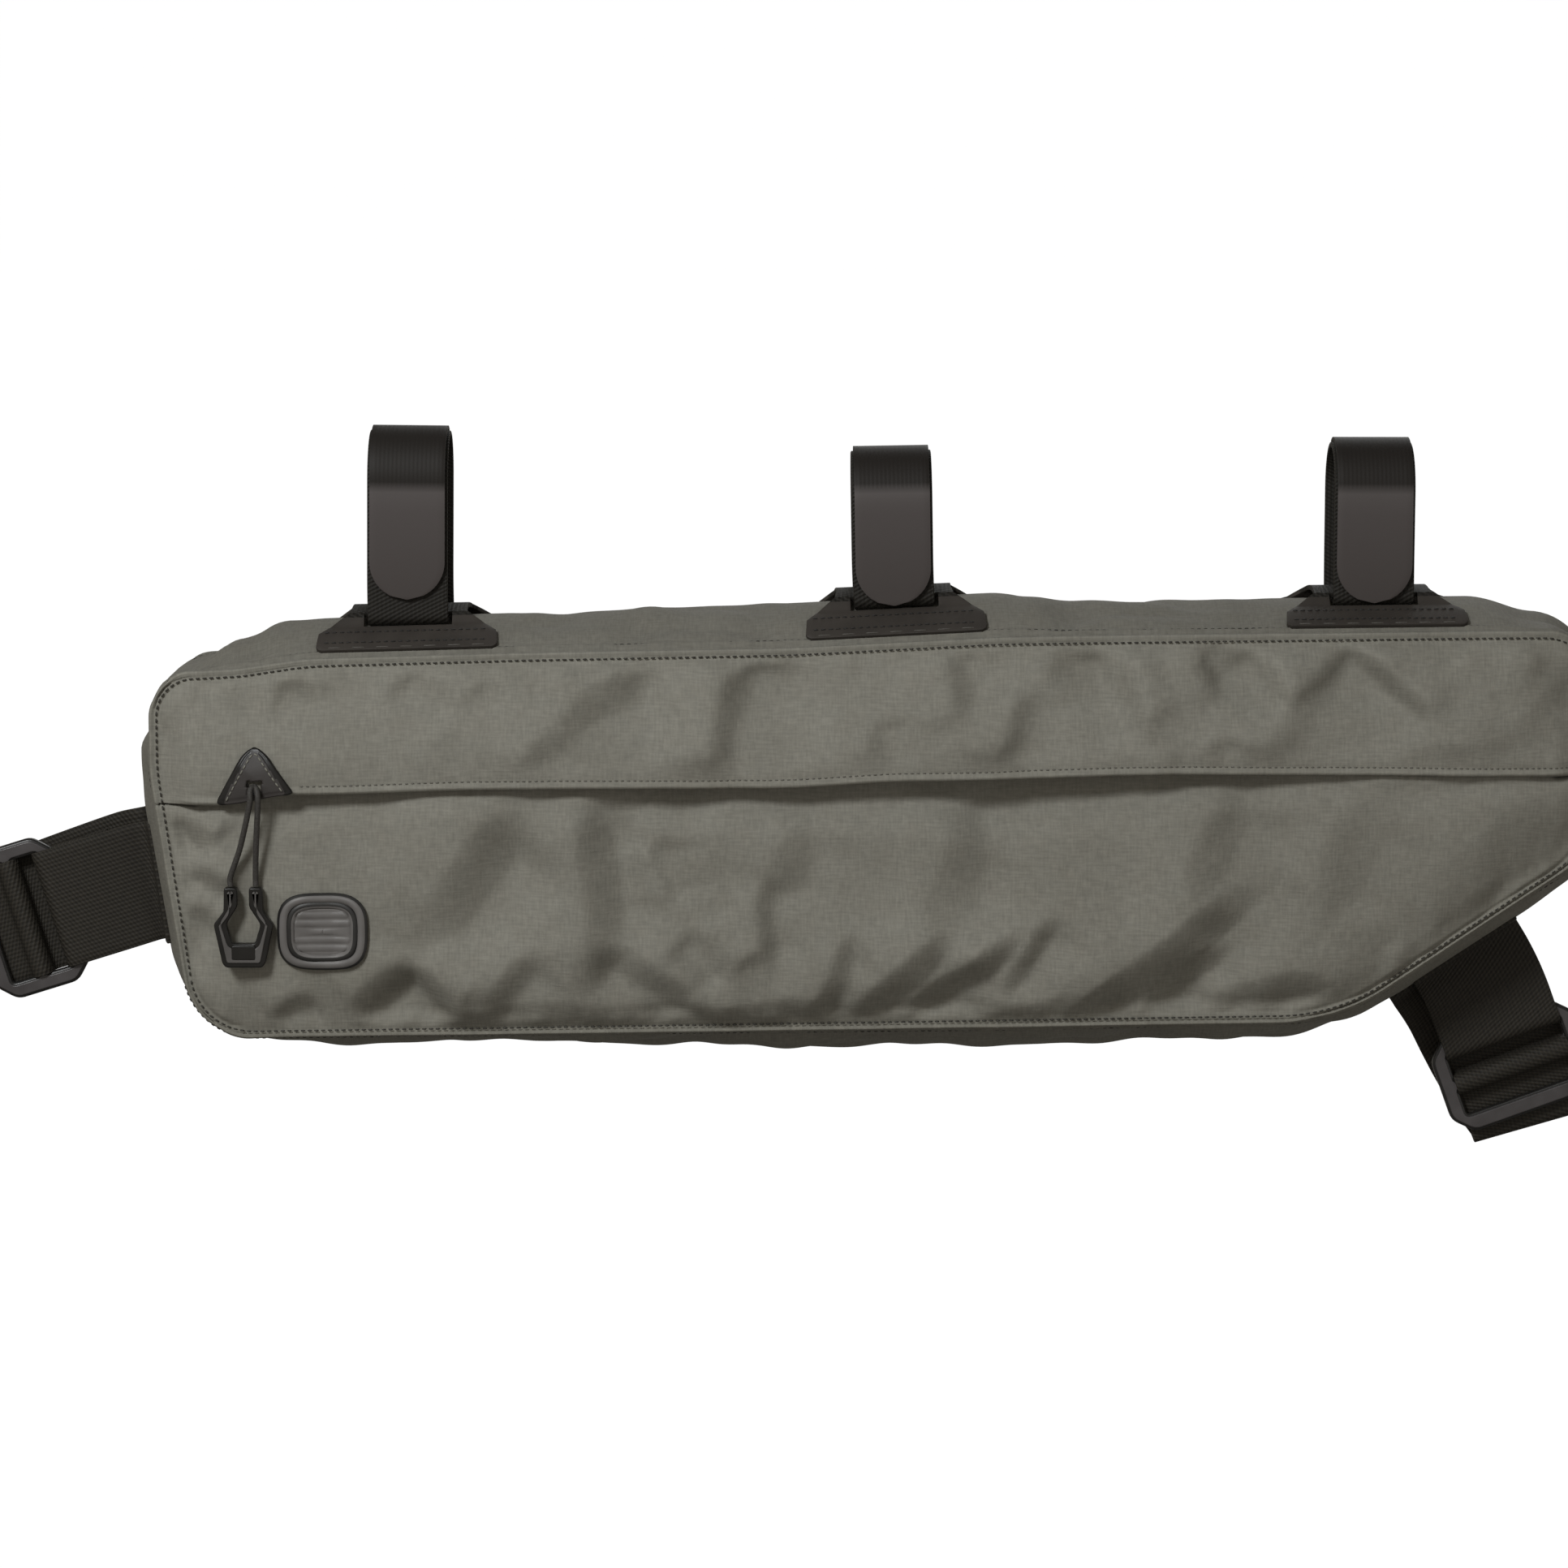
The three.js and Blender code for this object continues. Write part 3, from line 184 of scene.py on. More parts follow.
# Stitches: length, pitch and width
SEAM_STITCH = (1.4, 2.1, 0.55)
GUSSET_STITCH = (1.3, 2.1, 0.5)
FLAP_STITCH = (1.1, 1.9, 0.4)
GARAGE_STITCH = (1.5, 1.9, 0.5)
PLATE_STITCH = (1.5, 2.3, 0.5)
PLATE_EDGE_STITCH = (4.4, 7.4, 0.5)
STITCH_FLATNESS = 0.7
STITCH_RISE = 0.1
STITCH_SIDES = 6
STITCH_SHAPE = ((-0.5, 0.25), (-0.36, 0.9), (0, 1.0), (0.36, 0.9), (0.5, 0.25))
FORWARDS = (0.0, -1.0, 0.0)

# The straps at the two ends
WEBBING_WIDTH = 38.0
WEBBING = 1.6
BAR_THICKNESS = 3.0
BAR_BEVEL = 0.9
BAR_PITCH = 11.5
BUCKLE_WIDTH = 48.0
BUCKLE_HEIGHT = 32.0
BUCKLE_CHAMFER = 6.0
BUCKLE_ROUND = 2.2
BUCKLE_SLOT_ROUND = 1.2
BUCKLE_FACE_IN = 0.9
BUCKLE_FACE_THICKNESS = 0.9
BUCKLE_FACE_BEVEL = 0.35
FOOT_LENGTH = 15.0
RETURN_LENGTH = 14.0
TAIL_FROM_ROOT = 12.0
STRAPS = [
    {"name": "left", "edge": "leftWaist", "share": 0.46, "buckle_at": 45.0, "length": 67.0,
     "turn_over": 8, "buckle_turn": 9, "end_turn": 10, "shift": -4},
    {"name": "right", "edge": "bottomBend", "share": 0.475, "buckle_at": 41.5, "length": 62.5,
     "turn_over": 22, "buckle_turn": -14, "end_turn": -20, "shift": -9},
]
WRAP = BAR_THICKNESS / 2 + GAP + WEBBING / 2
BELOW = WRAP + WEBBING + GAP
REAR = BELOW + WEBBING + 0.5

# Colours of the cloth and the webbing, and the sizes of their patterns
CLOTH_COLOURS = ((0.186, 0.182, 0.158), (0.214, 0.210, 0.184))
MOTTLE_COLOUR = (0.175, 0.155, 0.125, 1)
GRID_COLOUR = (0.24, 0.235, 0.2, 1)
GRID_HALF_CELL = 2.1
GRID_HALF_LINE = 0.2
WEBBING_DARK = (0.0045, 0.004, 0.003)
WEBBING_LIGHT = (0.031, 0.0265, 0.020)
WEBBING_COLUMN = 1.3
WEBBING_RIB = 1.25
TAB_RIB = 1.3
# The tab's colours down its length: dark ribbed webbing over the tube, then a painted highlight band where
# the smooth face starts, fading darker down the tab
TAB_COLOURS_AND_HIGHLIGHT = (
    (0.06, (0.012, 0.0098, 0.0082)),
    (0.14, (0.080, 0.071, 0.070)),
    (0.3, (0.068, 0.059, 0.058)),
    (0.9, (0.054, 0.046, 0.044)),
)

# The sky's strength and colours level and upright, and the lamps: name, place in metres, size and power
SKY_STRENGTH = 0.43
SKY_LEVEL = (1.0, 0.93, 0.82, 1)
SKY_UPRIGHT = (0.2, 0.2, 0.2, 1)
LAMP_COLOUR = (0.98, 1.0, 1.0)
LAMP_AIM = (-0.02, 0, -0.08)
LAMPS = [
    ("key", (-0.74, -1.22, 0.89), 0.42, 19.2),
    ("fill", (1.3, -1.2, -0.1), 1.2, 1.5),
    ("back", (0.3, 1.6, 0.9), 1.2, 7.0),
]
BACKDROP_RADIUS = 12

# Folds in the front: the shaded side's line from (x, z) to (x, z), how wide the shaded slope
# and the gentle slope beyond it are, and how far the cloth sinks
UPPER_FOLDS = [
    (-77, -42, -113, -71, 6.5, 15, 1.7),
    (-45, -37, -53, -79, 5.0, 14, 1.9),
    (-8, -61, -3, -74, 3.5, 9, 0.8),
    (15, -37, 22, -56, 4.2, 11, 1.1),
    (41, -50, 34, -74, 4.5, 11, 1.3),
    (61, -34, 75, -61, 4.5, 11, 1.4),
    (93, -34, 99, -50, 2.5, 8, 0.8),
    (110, -36, 119, -53, 4.0, 10, 1.2),
    (133, -44, 120, -74, 8.5, 13, 1.4),
    (142, -34, 162, -57, 3.6, 11, 1.7),
    (172, -82, 206, -38, 13.0, 20, 1.3),
    (-190, -46, -178, -50, 3.5, 8, 0.8),
    (-147, -42, -137, -55, 4.0, 10, 0.8),
    (87, -68, 81, -75, 2.2, 4, 0.6),
    (100, -63, 96, -72, 2.2, 4, 0.6),
]
LOWER_FOLDS = [
    (-223, -87, -211, -96, 3.5, 8, 1.2),
    (-220, -103, -205, -111, 3.5, 8, 1.1),
    (-220, -117, -209, -122, 3.0, 7, 0.9),
    (-119, -90, -144, -123, 7.5, 18, 1.6),
    (-99, -85, -89, -133, 5.5, 12, 1.6),
    (-74, -96, -71, -114, 3.0, 9, 0.9),
    (-62, -123, -52, -137, 3.5, 9, 0.9),
    (-40, -109, -39, -132, 3.0, 8, 0.8),
    (-194, -152, -182, -144, 3.5, 8, 0.8),
    (-167, -149, -152, -134, 4.5, 10, 1.4),
    (-137, -149, -150, -135, 3.5, 8, 1.0),
    (-127, -149, -113, -132, 4.0, 10, 1.2),
    (-90, -129, -64, -147, 4.5, 10, 1.5),
    (-26, -152, -14, -127, 3.2, 8, 1.2),
    (-11, -149, 14, -127, 4.0, 10, 1.9),
    (9, -149, 34, -125, 4.0, 10, 1.9),
    (35, -141, 47, -120, 3.5, 10, 1.2),
    (57, -149, 107, -113, 6.0, 18, 2.0),
    (79, -149, 100, -129, 4.5, 11, 1.4),
    (97, -151, 130, -138, 5.0, 12, 1.4),
    (25, -86, 14, -125, 6.0, 15, 1.1),
    (106, -82, 91, -110, 5.5, 15, 1.0),
    (168, -122, 206, -84, 12.0, 18, 1.2),
    (144, -87, 134, -115, 6.5, 15, 0.9),
    (-26, -90, -37, -110, 5.5, 15, 0.8),
]
FOLD_STRENGTH = 4.8
FOLD_RISE = 0.45
CLOTH_WAVES = ((0.6, 46), (0.2, 17), (0.06, 7))
CREASES = 0.9
PUCKER_REACH = 12.0
FOLD_WANDER = 0.06
FOLD_WIDTH = 1.15
BOTTOM_SAG = 5.2
SAG_FROM = 62.0
SAG_EASES_FROM = 255.0
SAG_ROLL = 9.0
SAG_FADES_FROM = 13.0
UPPER_SINK_LIMIT = 2.4
ZIP_BAND = 17.0
GUSSET_CREASES = 2.4
SEAM_ALLOWANCE = 2.2
SUNK_PER_REACH = 0.95
SUNK_LESS = 2.2

# How far down the cloth stays sunk below the flap's edge, by the place along the length in millimetres
SUNK_BELOW_FLAP = [
    (15, 0.0), (44, 6.0), (78, 3.6), (108, 2.6), (128, 5.1), (153, 6.4), (163, 8.5), (178, 5.9),
    (203, 7.9), (228, 7.7), (241, 9.2), (256, 11.5), (269, 11.0), (284, 9.5), (304, 8.5),
    (329, 6.2), (354, 4.6), (379, 1.6), (404, 0.6), (446, 0.0),
]
FOLD_MARGIN = 7.0
PANEL_STEP = 1.35

# The shaded side of a fold looks away from this direction, and a fold that runs nearly along it is deeper
LIGHT_SIDE = (-0.45, 0.89)
FULL_FACING = 0.6
MOST_DEEPENED = 1.2


def smooth(value):
    t = np.clip(value, 0, 1)
    return t * t * (3 - 2 * t)


def lerp(a, b, t):
    return a + (b - a) * t


def bell(value, middle, width):
    """1 at the middle value, falling away smoothly on both sides."""
    return np.exp(-(((value - middle) / width) ** 2))


def trace_outline():
    """Points, normals, distances and bulges along the rounded outline, anticlockwise."""
    corners = [
        (name, along * BAG_LENGTH, up * BAG_HEIGHT, wanted, bulge)
        for name, along, up, wanted, bulge in OUTLINE_CORNERS
    ]
    rows = []
    middle = {}
    for i, (name, x, z, wanted, bulge) in enumerate(corners):
        before = corners[i - 1]
        after = corners[(i + 1) % len(corners)]
        in_angle = math.atan2(z - before[2], x - before[1])
        turn = math.atan2(after[2] - z, after[1] - x) - in_angle
        turn = math.atan2(math.sin(turn), math.cos(turn))
        room = 0.45 * min(math.hypot(x - before[1], z - before[2]), math.hypot(after[1] - x, after[2] - z))
        radius = math.copysign(min(wanted, abs(room / math.tan(turn / 2))), turn)
        setback = radius * math.tan(turn / 2)
        start_x = x - setback * math.cos(in_angle)
        start_z = z - setback * math.sin(in_angle)
        steps = 2 * math.ceil(abs(turn) / math.radians(4))
        for k in range(steps + 1):
            angle = in_angle + turn * k / steps
            rows.append((
                start_x + radius * (math.sin(angle) - math.sin(in_angle)),
                start_z - radius * (math.cos(angle) - math.cos(in_angle)),
                math.sin(angle),
                -math.cos(angle),
                bulge,
            ))
            if k == steps / 2:
                middle[name] = len(rows) - 1
    rows.append(rows[0])
    table = np.array(rows)
    steps = np.hypot(np.diff(table[:, 0]), np.diff(table[:, 1]))
    distance = np.concatenate([[0.0], np.cumsum(steps)])
    return table, distance, {name: distance[k] for name, k in middle.items()}


OUTLINE, DISTANCE, MARKS = trace_outline()
TOTAL = DISTANCE[-1]


def outline_at(distance, offset=0.0):
    """x, z, normal x, normal z and bulge at distances along the outline, pushed outwards."""
    wrapped = np.mod(np.asarray(distance, float), TOTAL)
    k = np.clip(np.searchsorted(DISTANCE, wrapped, side="left"), 1, len(DISTANCE) - 1)
    a = OUTLINE[k - 1]
    b = OUTLINE[k]
    length = DISTANCE[k] - DISTANCE[k - 1]
    t = np.where(length > 1e-9, (wrapped - DISTANCE[k - 1]) / np.maximum(length, 1e-9), 0.0)
    nx = lerp(a[..., 2], b[..., 2], t)
    nz = lerp(a[..., 3], b[..., 3], t)
    size = np.hypot(nx, nz)
    nx = nx / size
    nz = nz / size
    x = lerp(a[..., 0], b[..., 0], t) + offset * nx
    z = lerp(a[..., 1], b[..., 1], t) + offset * nz
    return x, z, nx, nz, lerp(a[..., 4], b[..., 4], smooth(t))


def apart(distance, middle):
    """How far apart two places are along the closed outline."""
    return np.abs(np.mod(distance - middle + TOTAL / 2, TOTAL) - TOTAL / 2)


def bisect(low, high, past):
    for _ in range(40):
        middle = (low + high) / 2
        if past(middle):
            high = middle
        else:
            low = middle
    return (low + high) / 2


def top_distance_at(x):
    return bisect(MARKS["topRight"], MARKS["topLeft"], lambda d: outline_at(d)[0] <= x)


HANG_AT = outline_at(top_distance_at(TUBE_ALONG * BAG_LENGTH))
OFFSET_X = -TUBE_ALONG * BAG_LENGTH
OFFSET_Z = -LOOPS[1][1] / 2 - float(HANG_AT[1]) - float(HANG_AT[4]) - CLOTH / 2


def in_frame(x, y, z):
    """Points in the part's frame from places in the bag's own x and z."""
    return np.stack(np.broadcast_arrays(x + OFFSET_X, y, z + OFFSET_Z), axis=-1)


def inside_by(x, z):
    """How far inside the outline each point lies."""
    nearest = np.full(np.shape(x), 1e9)
    for k in range(1, len(OUTLINE)):
        ax, az = OUTLINE[k - 1][:2]
        dx = OUTLINE[k][0] - ax
        dz = OUTLINE[k][1] - az
        t = np.clip(((x - ax) * dx + (z - az) * dz) / max(dx * dx + dz * dz, 1e-9), 0, 1)
        nearest = np.minimum(nearest, np.hypot(x - ax - t * dx, z - az - t * dz))
    return nearest


def flap_edge(x):
    """The height of the flap's lower edge at x."""
    table = np.array(FLAP_EDGE)
    along = np.clip(np.asarray(x, float) / BAG_LENGTH, 0, 1)
    k = np.clip(np.searchsorted(table[:, 0], along, side="left"), 1, len(table) - 1)
    t = (along - table[k - 1, 0]) / (table[k, 0] - table[k - 1, 0])
    return BAG_HEIGHT * lerp(table[k - 1, 1], table[k, 1], smooth(t))


def from_ends(x):
    """The distance to the nearer end of the bag."""
    return np.minimum(x, BAG_LENGTH - x)


def flap_lift(x, z):
    """How far the flap stands out in front of the cloth below it."""
    across = 1 - smooth((z - flap_edge(x) - FLAP_COVER) / FLAP_BLEND)
    return FLAP_LIFT * across * smooth((from_ends(x) - 2) / FLAP_END)


def flap_open(x):
    """1 where the flap is loose over the zip and 0 where it is sewn down at the bag's ends."""
    return smooth((from_ends(x) - 16) / 20)


def flap_cover(x):
    """How far the cloth below runs up behind the flap's edge."""
    return lerp(-GAP, FLAP_COVER, smooth((from_ends(x) - FLAP_END) / FLAP_END))


def pillow(depth):
    """The share of the full puff at a depth inside the outline."""
    return np.sin(math.pi / 2 * np.minimum(1, depth / PUFF_REACH)) ** 0.8


def ripple(x, z, wavelength, seed, count=7):
    """Smooth seeded unevenness between about -1 and 1."""
    dice = np.random.RandomState(seed)
    total = np.zeros(np.shape(x))
    for _ in range(count):
        angle = dice.uniform(0, 2 * math.pi)
        size = wavelength * dice.uniform(0.7, 1.5)
        phase = dice.uniform(0, 2 * math.pi)
        total += np.sin((x * math.cos(angle) + z * math.sin(angle)) * 2 * math.pi / size + phase)
    return total / math.sqrt(count * 2)


def fold_depth(x, z, folds):
    """How far the folds sink the cloth: a raised edge, an even shaded slope and a gentle slope beyond it."""
    sunk = np.zeros(np.shape(x))
    for x0, z0, x1, z1, shaded, gentle, depth in folds:
        dx, dz = x1 - x0, z1 - z0
        length = math.hypot(dx, dz)
        ux, uz = dx / length, dz / length
        nx, nz = uz, -ux
        facing = nx * LIGHT_SIDE[0] + nz * LIGHT_SIDE[1]
        if facing > 0:
            nx, nz = -nx, -nz
        depth = depth * np.clip(FULL_FACING / max(abs(facing), 0.1), 1, MOST_DEEPENED)
        wander = FOLD_WANDER * length * ripple(x, z, 1.6 * length, int(abs(x0) * 7 + abs(z0)), 3)
        along = ((x - x0) * ux + (z - z0) * uz) / length
        away = (x - x0) * nx + (z - z0) * nz + wander
        ends = bell(np.maximum(0, np.abs(along - 0.5) - 0.3), 0, 0.22)
        width = FOLD_WIDTH * shaded * (0.45 + 0.55 * ends)
        across = np.clip((away + width) / (2 * width), 0, 1)
        slope = lerp(across, smooth(across), 0.4)
        beyond = bell(np.maximum(0, away - width), 0, gentle)
        before = bell(np.maximum(0, -away - width), 0, gentle)
        sunk += depth * ((1 - FOLD_RISE) * slope * beyond - FOLD_RISE * (1 - slope) * before) * ends
    return FOLD_STRENGTH * sunk


def front_face(x, z, lift=0.0):
    """How far in front of the bag's middle the unfolded front lies, in the bag's own coordinates."""
    return BAG_WIDTH / 2 + CLOTH + FRONT_PUFF * pillow(inside_by(x, z)) + lift


def gusset_rise(bulge, share):
    """How far the gusset rises at a share of the way from its middle to a seam."""
    return bulge * (1 - np.abs(share) ** GUSSET_ROUNDNESS)


def add_object(name, data):
    made = bpy.data.objects.new(name, data)
    bpy.context.scene.collection.objects.link(made)
    return made


def new_object(name, vertices, faces, corner_uvs, material):
    """A smooth-shaded mesh object from millimetre points, with its texture coordinates in millimetres."""
    mesh = bpy.data.meshes.new(name)
    mesh.from_pydata((np.asarray(vertices) * MM).tolist(), [], [list(map(int, f)) for f in faces])
    if corner_uvs is not None:
        layer = mesh.uv_layers.new(name="cloth")
        layer.data.foreach_set("uv", np.asarray(corner_uvs, np.float32).ravel())
    mesh.shade_smooth()
    mesh.materials.append(material)
    return add_object(name, mesh)


def grid_object(name, points, uvs, material, wrap_u=False, has=None):
    """A mesh over a grid of points, closed in the first direction where wrap_u is set."""
    nu, nv = points.shape[:2]
    i, j = (k.ravel() for k in np.indices((nu if wrap_u else nu - 1, nv - 1)))
    if has is not None:
        kept = has[i, j]
        i, j = i[kept], j[kept]
    corners = [(i, j), (i + 1, j), (i + 1, j + 1), (i, j + 1)]
    faces = np.stack([(a % nu) * nv + (b % nv) for a, b in corners], axis=1)
    corner_uvs = np.stack([uvs[a % uvs.shape[0], b % uvs.shape[1]] for a, b in corners], axis=1)
    return new_object(name, points.reshape(-1, 3), faces, corner_uvs, material)


def thicken(made, thickness, offset=-1.0, bevel=0.0):
    """Gives a sheet its thickness, inwards from its face by default, and rounds its edges."""
    solidify = made.modifiers.new("thickness", "SOLIDIFY")
    solidify.thickness = thickness * MM
    solidify.offset = offset
    if bevel:
        rounded = made.modifiers.new("edges", "BEVEL")
        rounded.width = bevel * MM
        rounded.segments = 2
        rounded.limit_method = "ANGLE"
        rounded.angle_limit = math.radians(50)
    return made


def finish_piece(made, slot, *nodes):
    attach(made, "root")
    if nodes:
        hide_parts(*nodes)
    return made


def build_camera():
    tilt = math.radians(CAMERA_ELEVATION)
    camera = add_object("camera", bpy.data.cameras.new("camera"))
    x, y, z = CAMERA_TARGET
    camera.location = (
        x * MM,
        (y - CAMERA_DISTANCE * math.cos(tilt)) * MM,
        (z + CAMERA_DISTANCE * math.sin(tilt)) * MM,
    )
    camera.rotation_euler = (math.pi / 2 - tilt, 0, 0)
    camera.data.lens = CAMERA_LENS
    camera.data.sensor_width = 36
    camera.data.clip_end = 50
    camera.data.dof.use_dof = False
    bpy.context.scene.camera = camera


class Nodes:
    """A short way to lay out a material's nodes."""

    def __init__(self, name):
        self.material = bpy.data.materials.new(name)
        self.material.use_nodes = True
        self.tree = self.material.node_tree
        self.shader = self.tree.nodes["Principled BSDF"]

    def node(self, kind, **inputs):
        made = self.tree.nodes.new(kind)
        for name, value in inputs.items():
            self.feed(made.inputs[int(name[1:]) if name[1:].isdigit() else name.replace("_", " ")], value)
        return made

    def feed(self, socket, value):
        if isinstance(value, bpy.types.NodeSocket):
            self.tree.links.new(value, socket)
        else:
            socket.default_value = value

    def math(self, operation, *values):
        made = self.tree.nodes.new("ShaderNodeMath")
        made.operation = operation
        for socket, value in zip(made.inputs, values):
            self.feed(socket, value)
        return made.outputs[0]

    def plus(self, a, b):
        return self.math("ADD", a, b)

    def times(self, a, b):
        return self.math("MULTIPLY", a, b)

    def mapped(self, kind, scale):
        mapping = self.node("ShaderNodeMapping")
        self.feed(mapping.inputs["Vector"], self.node("ShaderNodeTexCoord").outputs[kind])
        mapping.inputs["Scale"].default_value = scale
        return mapping.outputs[0]

    def uv(self, scale_u=1.0, scale_v=1.0):
        return self.mapped("UV", (scale_u, scale_v, 1))

    def place(self):
        """The object's own coordinates in millimetres."""
        return self.mapped("Object", (1 / MM, 1 / MM, 1 / MM))

    def noise(self, vector, scale=1.0, detail=2.0, roughness=0.5):
        made = self.node("ShaderNodeTexNoise", Scale=scale, Detail=detail, Roughness=roughness)
        self.feed(made.inputs["Vector"], vector)
        return made.outputs["Fac"]

    def ramp(self, value, *stops):
        made = self.node("ShaderNodeValToRGB", Fac=value)
        elements = made.color_ramp.elements
        while len(elements) < len(stops):
            elements.new(0.5)
        for element, (position, colour) in zip(elements, stops):
            element.position = position
            element.color = (*colour, 1)
        return made.outputs["Color"]

    def mix(self, factor, a, b, blend="MIX"):
        made = self.tree.nodes.new("ShaderNodeMix")
        made.data_type = "RGBA"
        made.blend_type = blend
        self.feed(made.inputs[0], factor)
        self.feed(made.inputs[6], a)
        self.feed(made.inputs[7], b)
        return made.outputs[2]

    def bump(self, height, distance, strength=1.0, normal=None):
        made = self.node("ShaderNodeBump", Height=height, Distance=distance * MM, Strength=strength)
        if normal is not None:
            self.feed(made.inputs["Normal"], normal)
        return made.outputs["Normal"]

    def done(self, colour=None, roughness=None, normal=None, **inputs):
        if colour is not None:
            self.feed(self.shader.inputs["Base Color"], colour)
        if roughness is not None:
            self.feed(self.shader.inputs["Roughness"], roughness)
        if normal is not None:
            self.feed(self.shader.inputs["Normal"], normal)
        for name, value in inputs.items():
            self.shader.inputs[name.replace("_", " ")].default_value = value
        return self.material


def ripstop_material(name, strength):
    """Olive-grey nylon: fine threads both ways, a faint ripstop grid, and soft mottling."""
    n = Nodes(name)
    broad = n.noise(n.place(), scale=0.035, detail=3)
    cloudy = n.noise(n.place(), scale=0.16, detail=3)
    weft = n.noise(n.uv(0.2, 1.5), scale=1.0, detail=3)
    warp = n.noise(n.uv(1.5, 0.2), scale=1.0, detail=3)
    threads = n.times(n.plus(weft, warp), 0.5)
    flecks = n.noise(n.uv(0.45, 0.45), scale=1.0, detail=2)
    uv = n.node("ShaderNodeSeparateXYZ", Vector=n.uv())
    lines = []
    for axis in (0, 1):
        cell = n.math("PINGPONG", uv.outputs[axis], GRID_HALF_CELL)
        lines.append(n.math("LESS_THAN", cell, GRID_HALF_LINE))
    grid = n.math("MAXIMUM", *lines)
    dark, light = (tuple(strength * c for c in colour) for colour in CLOTH_COLOURS)
    colour = n.ramp(broad, (0.3, dark), (0.7, light))
    colour = n.mix(n.times(cloudy, 0.35), colour, MOTTLE_COLOUR)
    tint = n.ramp(threads, (0.36, (0.87, 0.87, 0.87)), (0.64, (1.13, 1.13, 1.13)))
    colour = n.mix(1.0, colour, tint, "MULTIPLY")
    fleck_tint = n.ramp(flecks, (0.35, (0.96, 0.96, 0.96)), (0.65, (1.04, 1.04, 1.04)))
    colour = n.mix(1.0, colour, fleck_tint, "MULTIPLY")
    colour = n.mix(n.times(grid, 0.05), colour, GRID_COLOUR)
    fine = n.bump(threads, 0.2, 0.8)
    height = n.bump(grid, 0.03, 0.7, fine)
    return n.done(colour, 0.8, height, Specular_IOR_Level=0.25)


def webbing_material(name, strength):
    """Near-black webbing with ribs across it and rows of bumps along it."""
    n = Nodes(name)
    uv = n.node("ShaderNodeSeparateXYZ", Vector=n.uv())
    column = n.math("PINGPONG", n.math("DIVIDE", uv.outputs[0], WEBBING_COLUMN), 0.5)
    ridge = n.times(column, 2.0)
    slant = n.times(uv.outputs[0], math.pi / WEBBING_COLUMN)
    turned = n.plus(n.times(uv.outputs[1], 2 * math.pi / WEBBING_RIB), slant)
    rib = n.plus(n.times(n.math("SINE", turned), 0.5), 0.5)
    height = n.plus(n.times(ridge, 0.45), n.times(rib, 0.55))
    wear = n.noise(n.uv(0.5, 0.5), scale=1.0, detail=4)
    shade = n.plus(n.times(height, 0.7), n.times(wear, 0.45))
    light = tuple(strength * c for c in WEBBING_LIGHT)
    colour = n.ramp(shade, (0.1, WEBBING_DARK), (0.95, light))
    return n.done(colour, 0.7, n.bump(height, 0.26, 0.9), Specular_IOR_Level=0.3)


def grained_material(name, dark, light, roughness, grain, relief, broad=None, detail=2, **inputs):
    """A plain surface with a fine relief, whose colour varies broadly or, without broad, with its grain."""
    n = Nodes(name)
    fine = n.noise(n.place(), scale=grain, detail=detail)
    varied = fine if broad is None else n.noise(n.place(), scale=broad, detail=2)
    colour = n.ramp(varied, (0.3, dark), (0.7, light))
    return n.done(colour, roughness, n.bump(fine, *relief), **inputs)


def coated_material(name, dark, light, roughness, shine):
    relief = (0.05, 0.6)
    return grained_material(name, dark, light, roughness, 1.6, relief, 0.09, 3, Specular_IOR_Level=shine)


def plastic_material(name, dark, light):
    return grained_material(name, dark, light, 0.36, 2.5, (0.02, 0.5), 0.12, Specular_IOR_Level=0.35)


def rubber_material(name, dark, light):
    return grained_material(name, dark, light, 0.5, 1.8, (0.03, 0.6), 0.15)


def thread_material(name, colour):
    dark = tuple(0.7 * c for c in colour)
    return grained_material(name, dark, colour, 0.6, 3.0, (0.05, 0.6))


def tab_material():
    """A tab: ribbed and dark over the tube, then a smooth lighter face below v = 0, with a painted highlight
    band just below v = 0 that fades darker down the tab.
    """
    n = Nodes("tab_cloth")
    uv = n.node("ShaderNodeSeparateXYZ", Vector=n.uv())
    grain = n.noise(n.place(), scale=1.6, detail=3)
    ribs = n.math("SINE", n.times(uv.outputs[0], 2 * math.pi / TAB_RIB))
    down = n.times(n.plus(uv.outputs[1], 4.0), 1 / 40)
    colour = n.ramp(down, *TAB_COLOURS_AND_HIGHLIGHT)
    above = n.math("LESS_THAN", uv.outputs[1], 0.0)
    ribbed = n.times(n.times(ribs, above), 0.22)
    height = n.plus(n.times(grain, 0.35), ribbed)
    return n.done(colour, 0.62, n.bump(height, 0.1, 0.6), Specular_IOR_Level=0.25)


RIPSTOP = ripstop_material("ripstop_cloth", 1.0)
# The gusset's copy of the same nylon at 0.73 of its colour: painted shade on the gusset
SHADED_SIDE_CLOTH = ripstop_material("ripstop_side_cloth_painted_shade", 0.73)
WEBBING_CLOTH = webbing_material("webbing", 1.0)
# The loops' copy of the webbing at half its colour: painted shade behind the tabs
SHADED_LOOP_CLOTH = webbing_material("loop_webbing_painted_shade", 0.5)
COATED = coated_material("coated_cloth", (0.030, 0.0255, 0.022), (0.042, 0.036, 0.031), 0.6, 0.3)
PATCH = coated_material("coated_patch", (0.027, 0.023, 0.0215), (0.037, 0.032, 0.030), 0.55, 0.4)
TAB_CLOTH = tab_material()
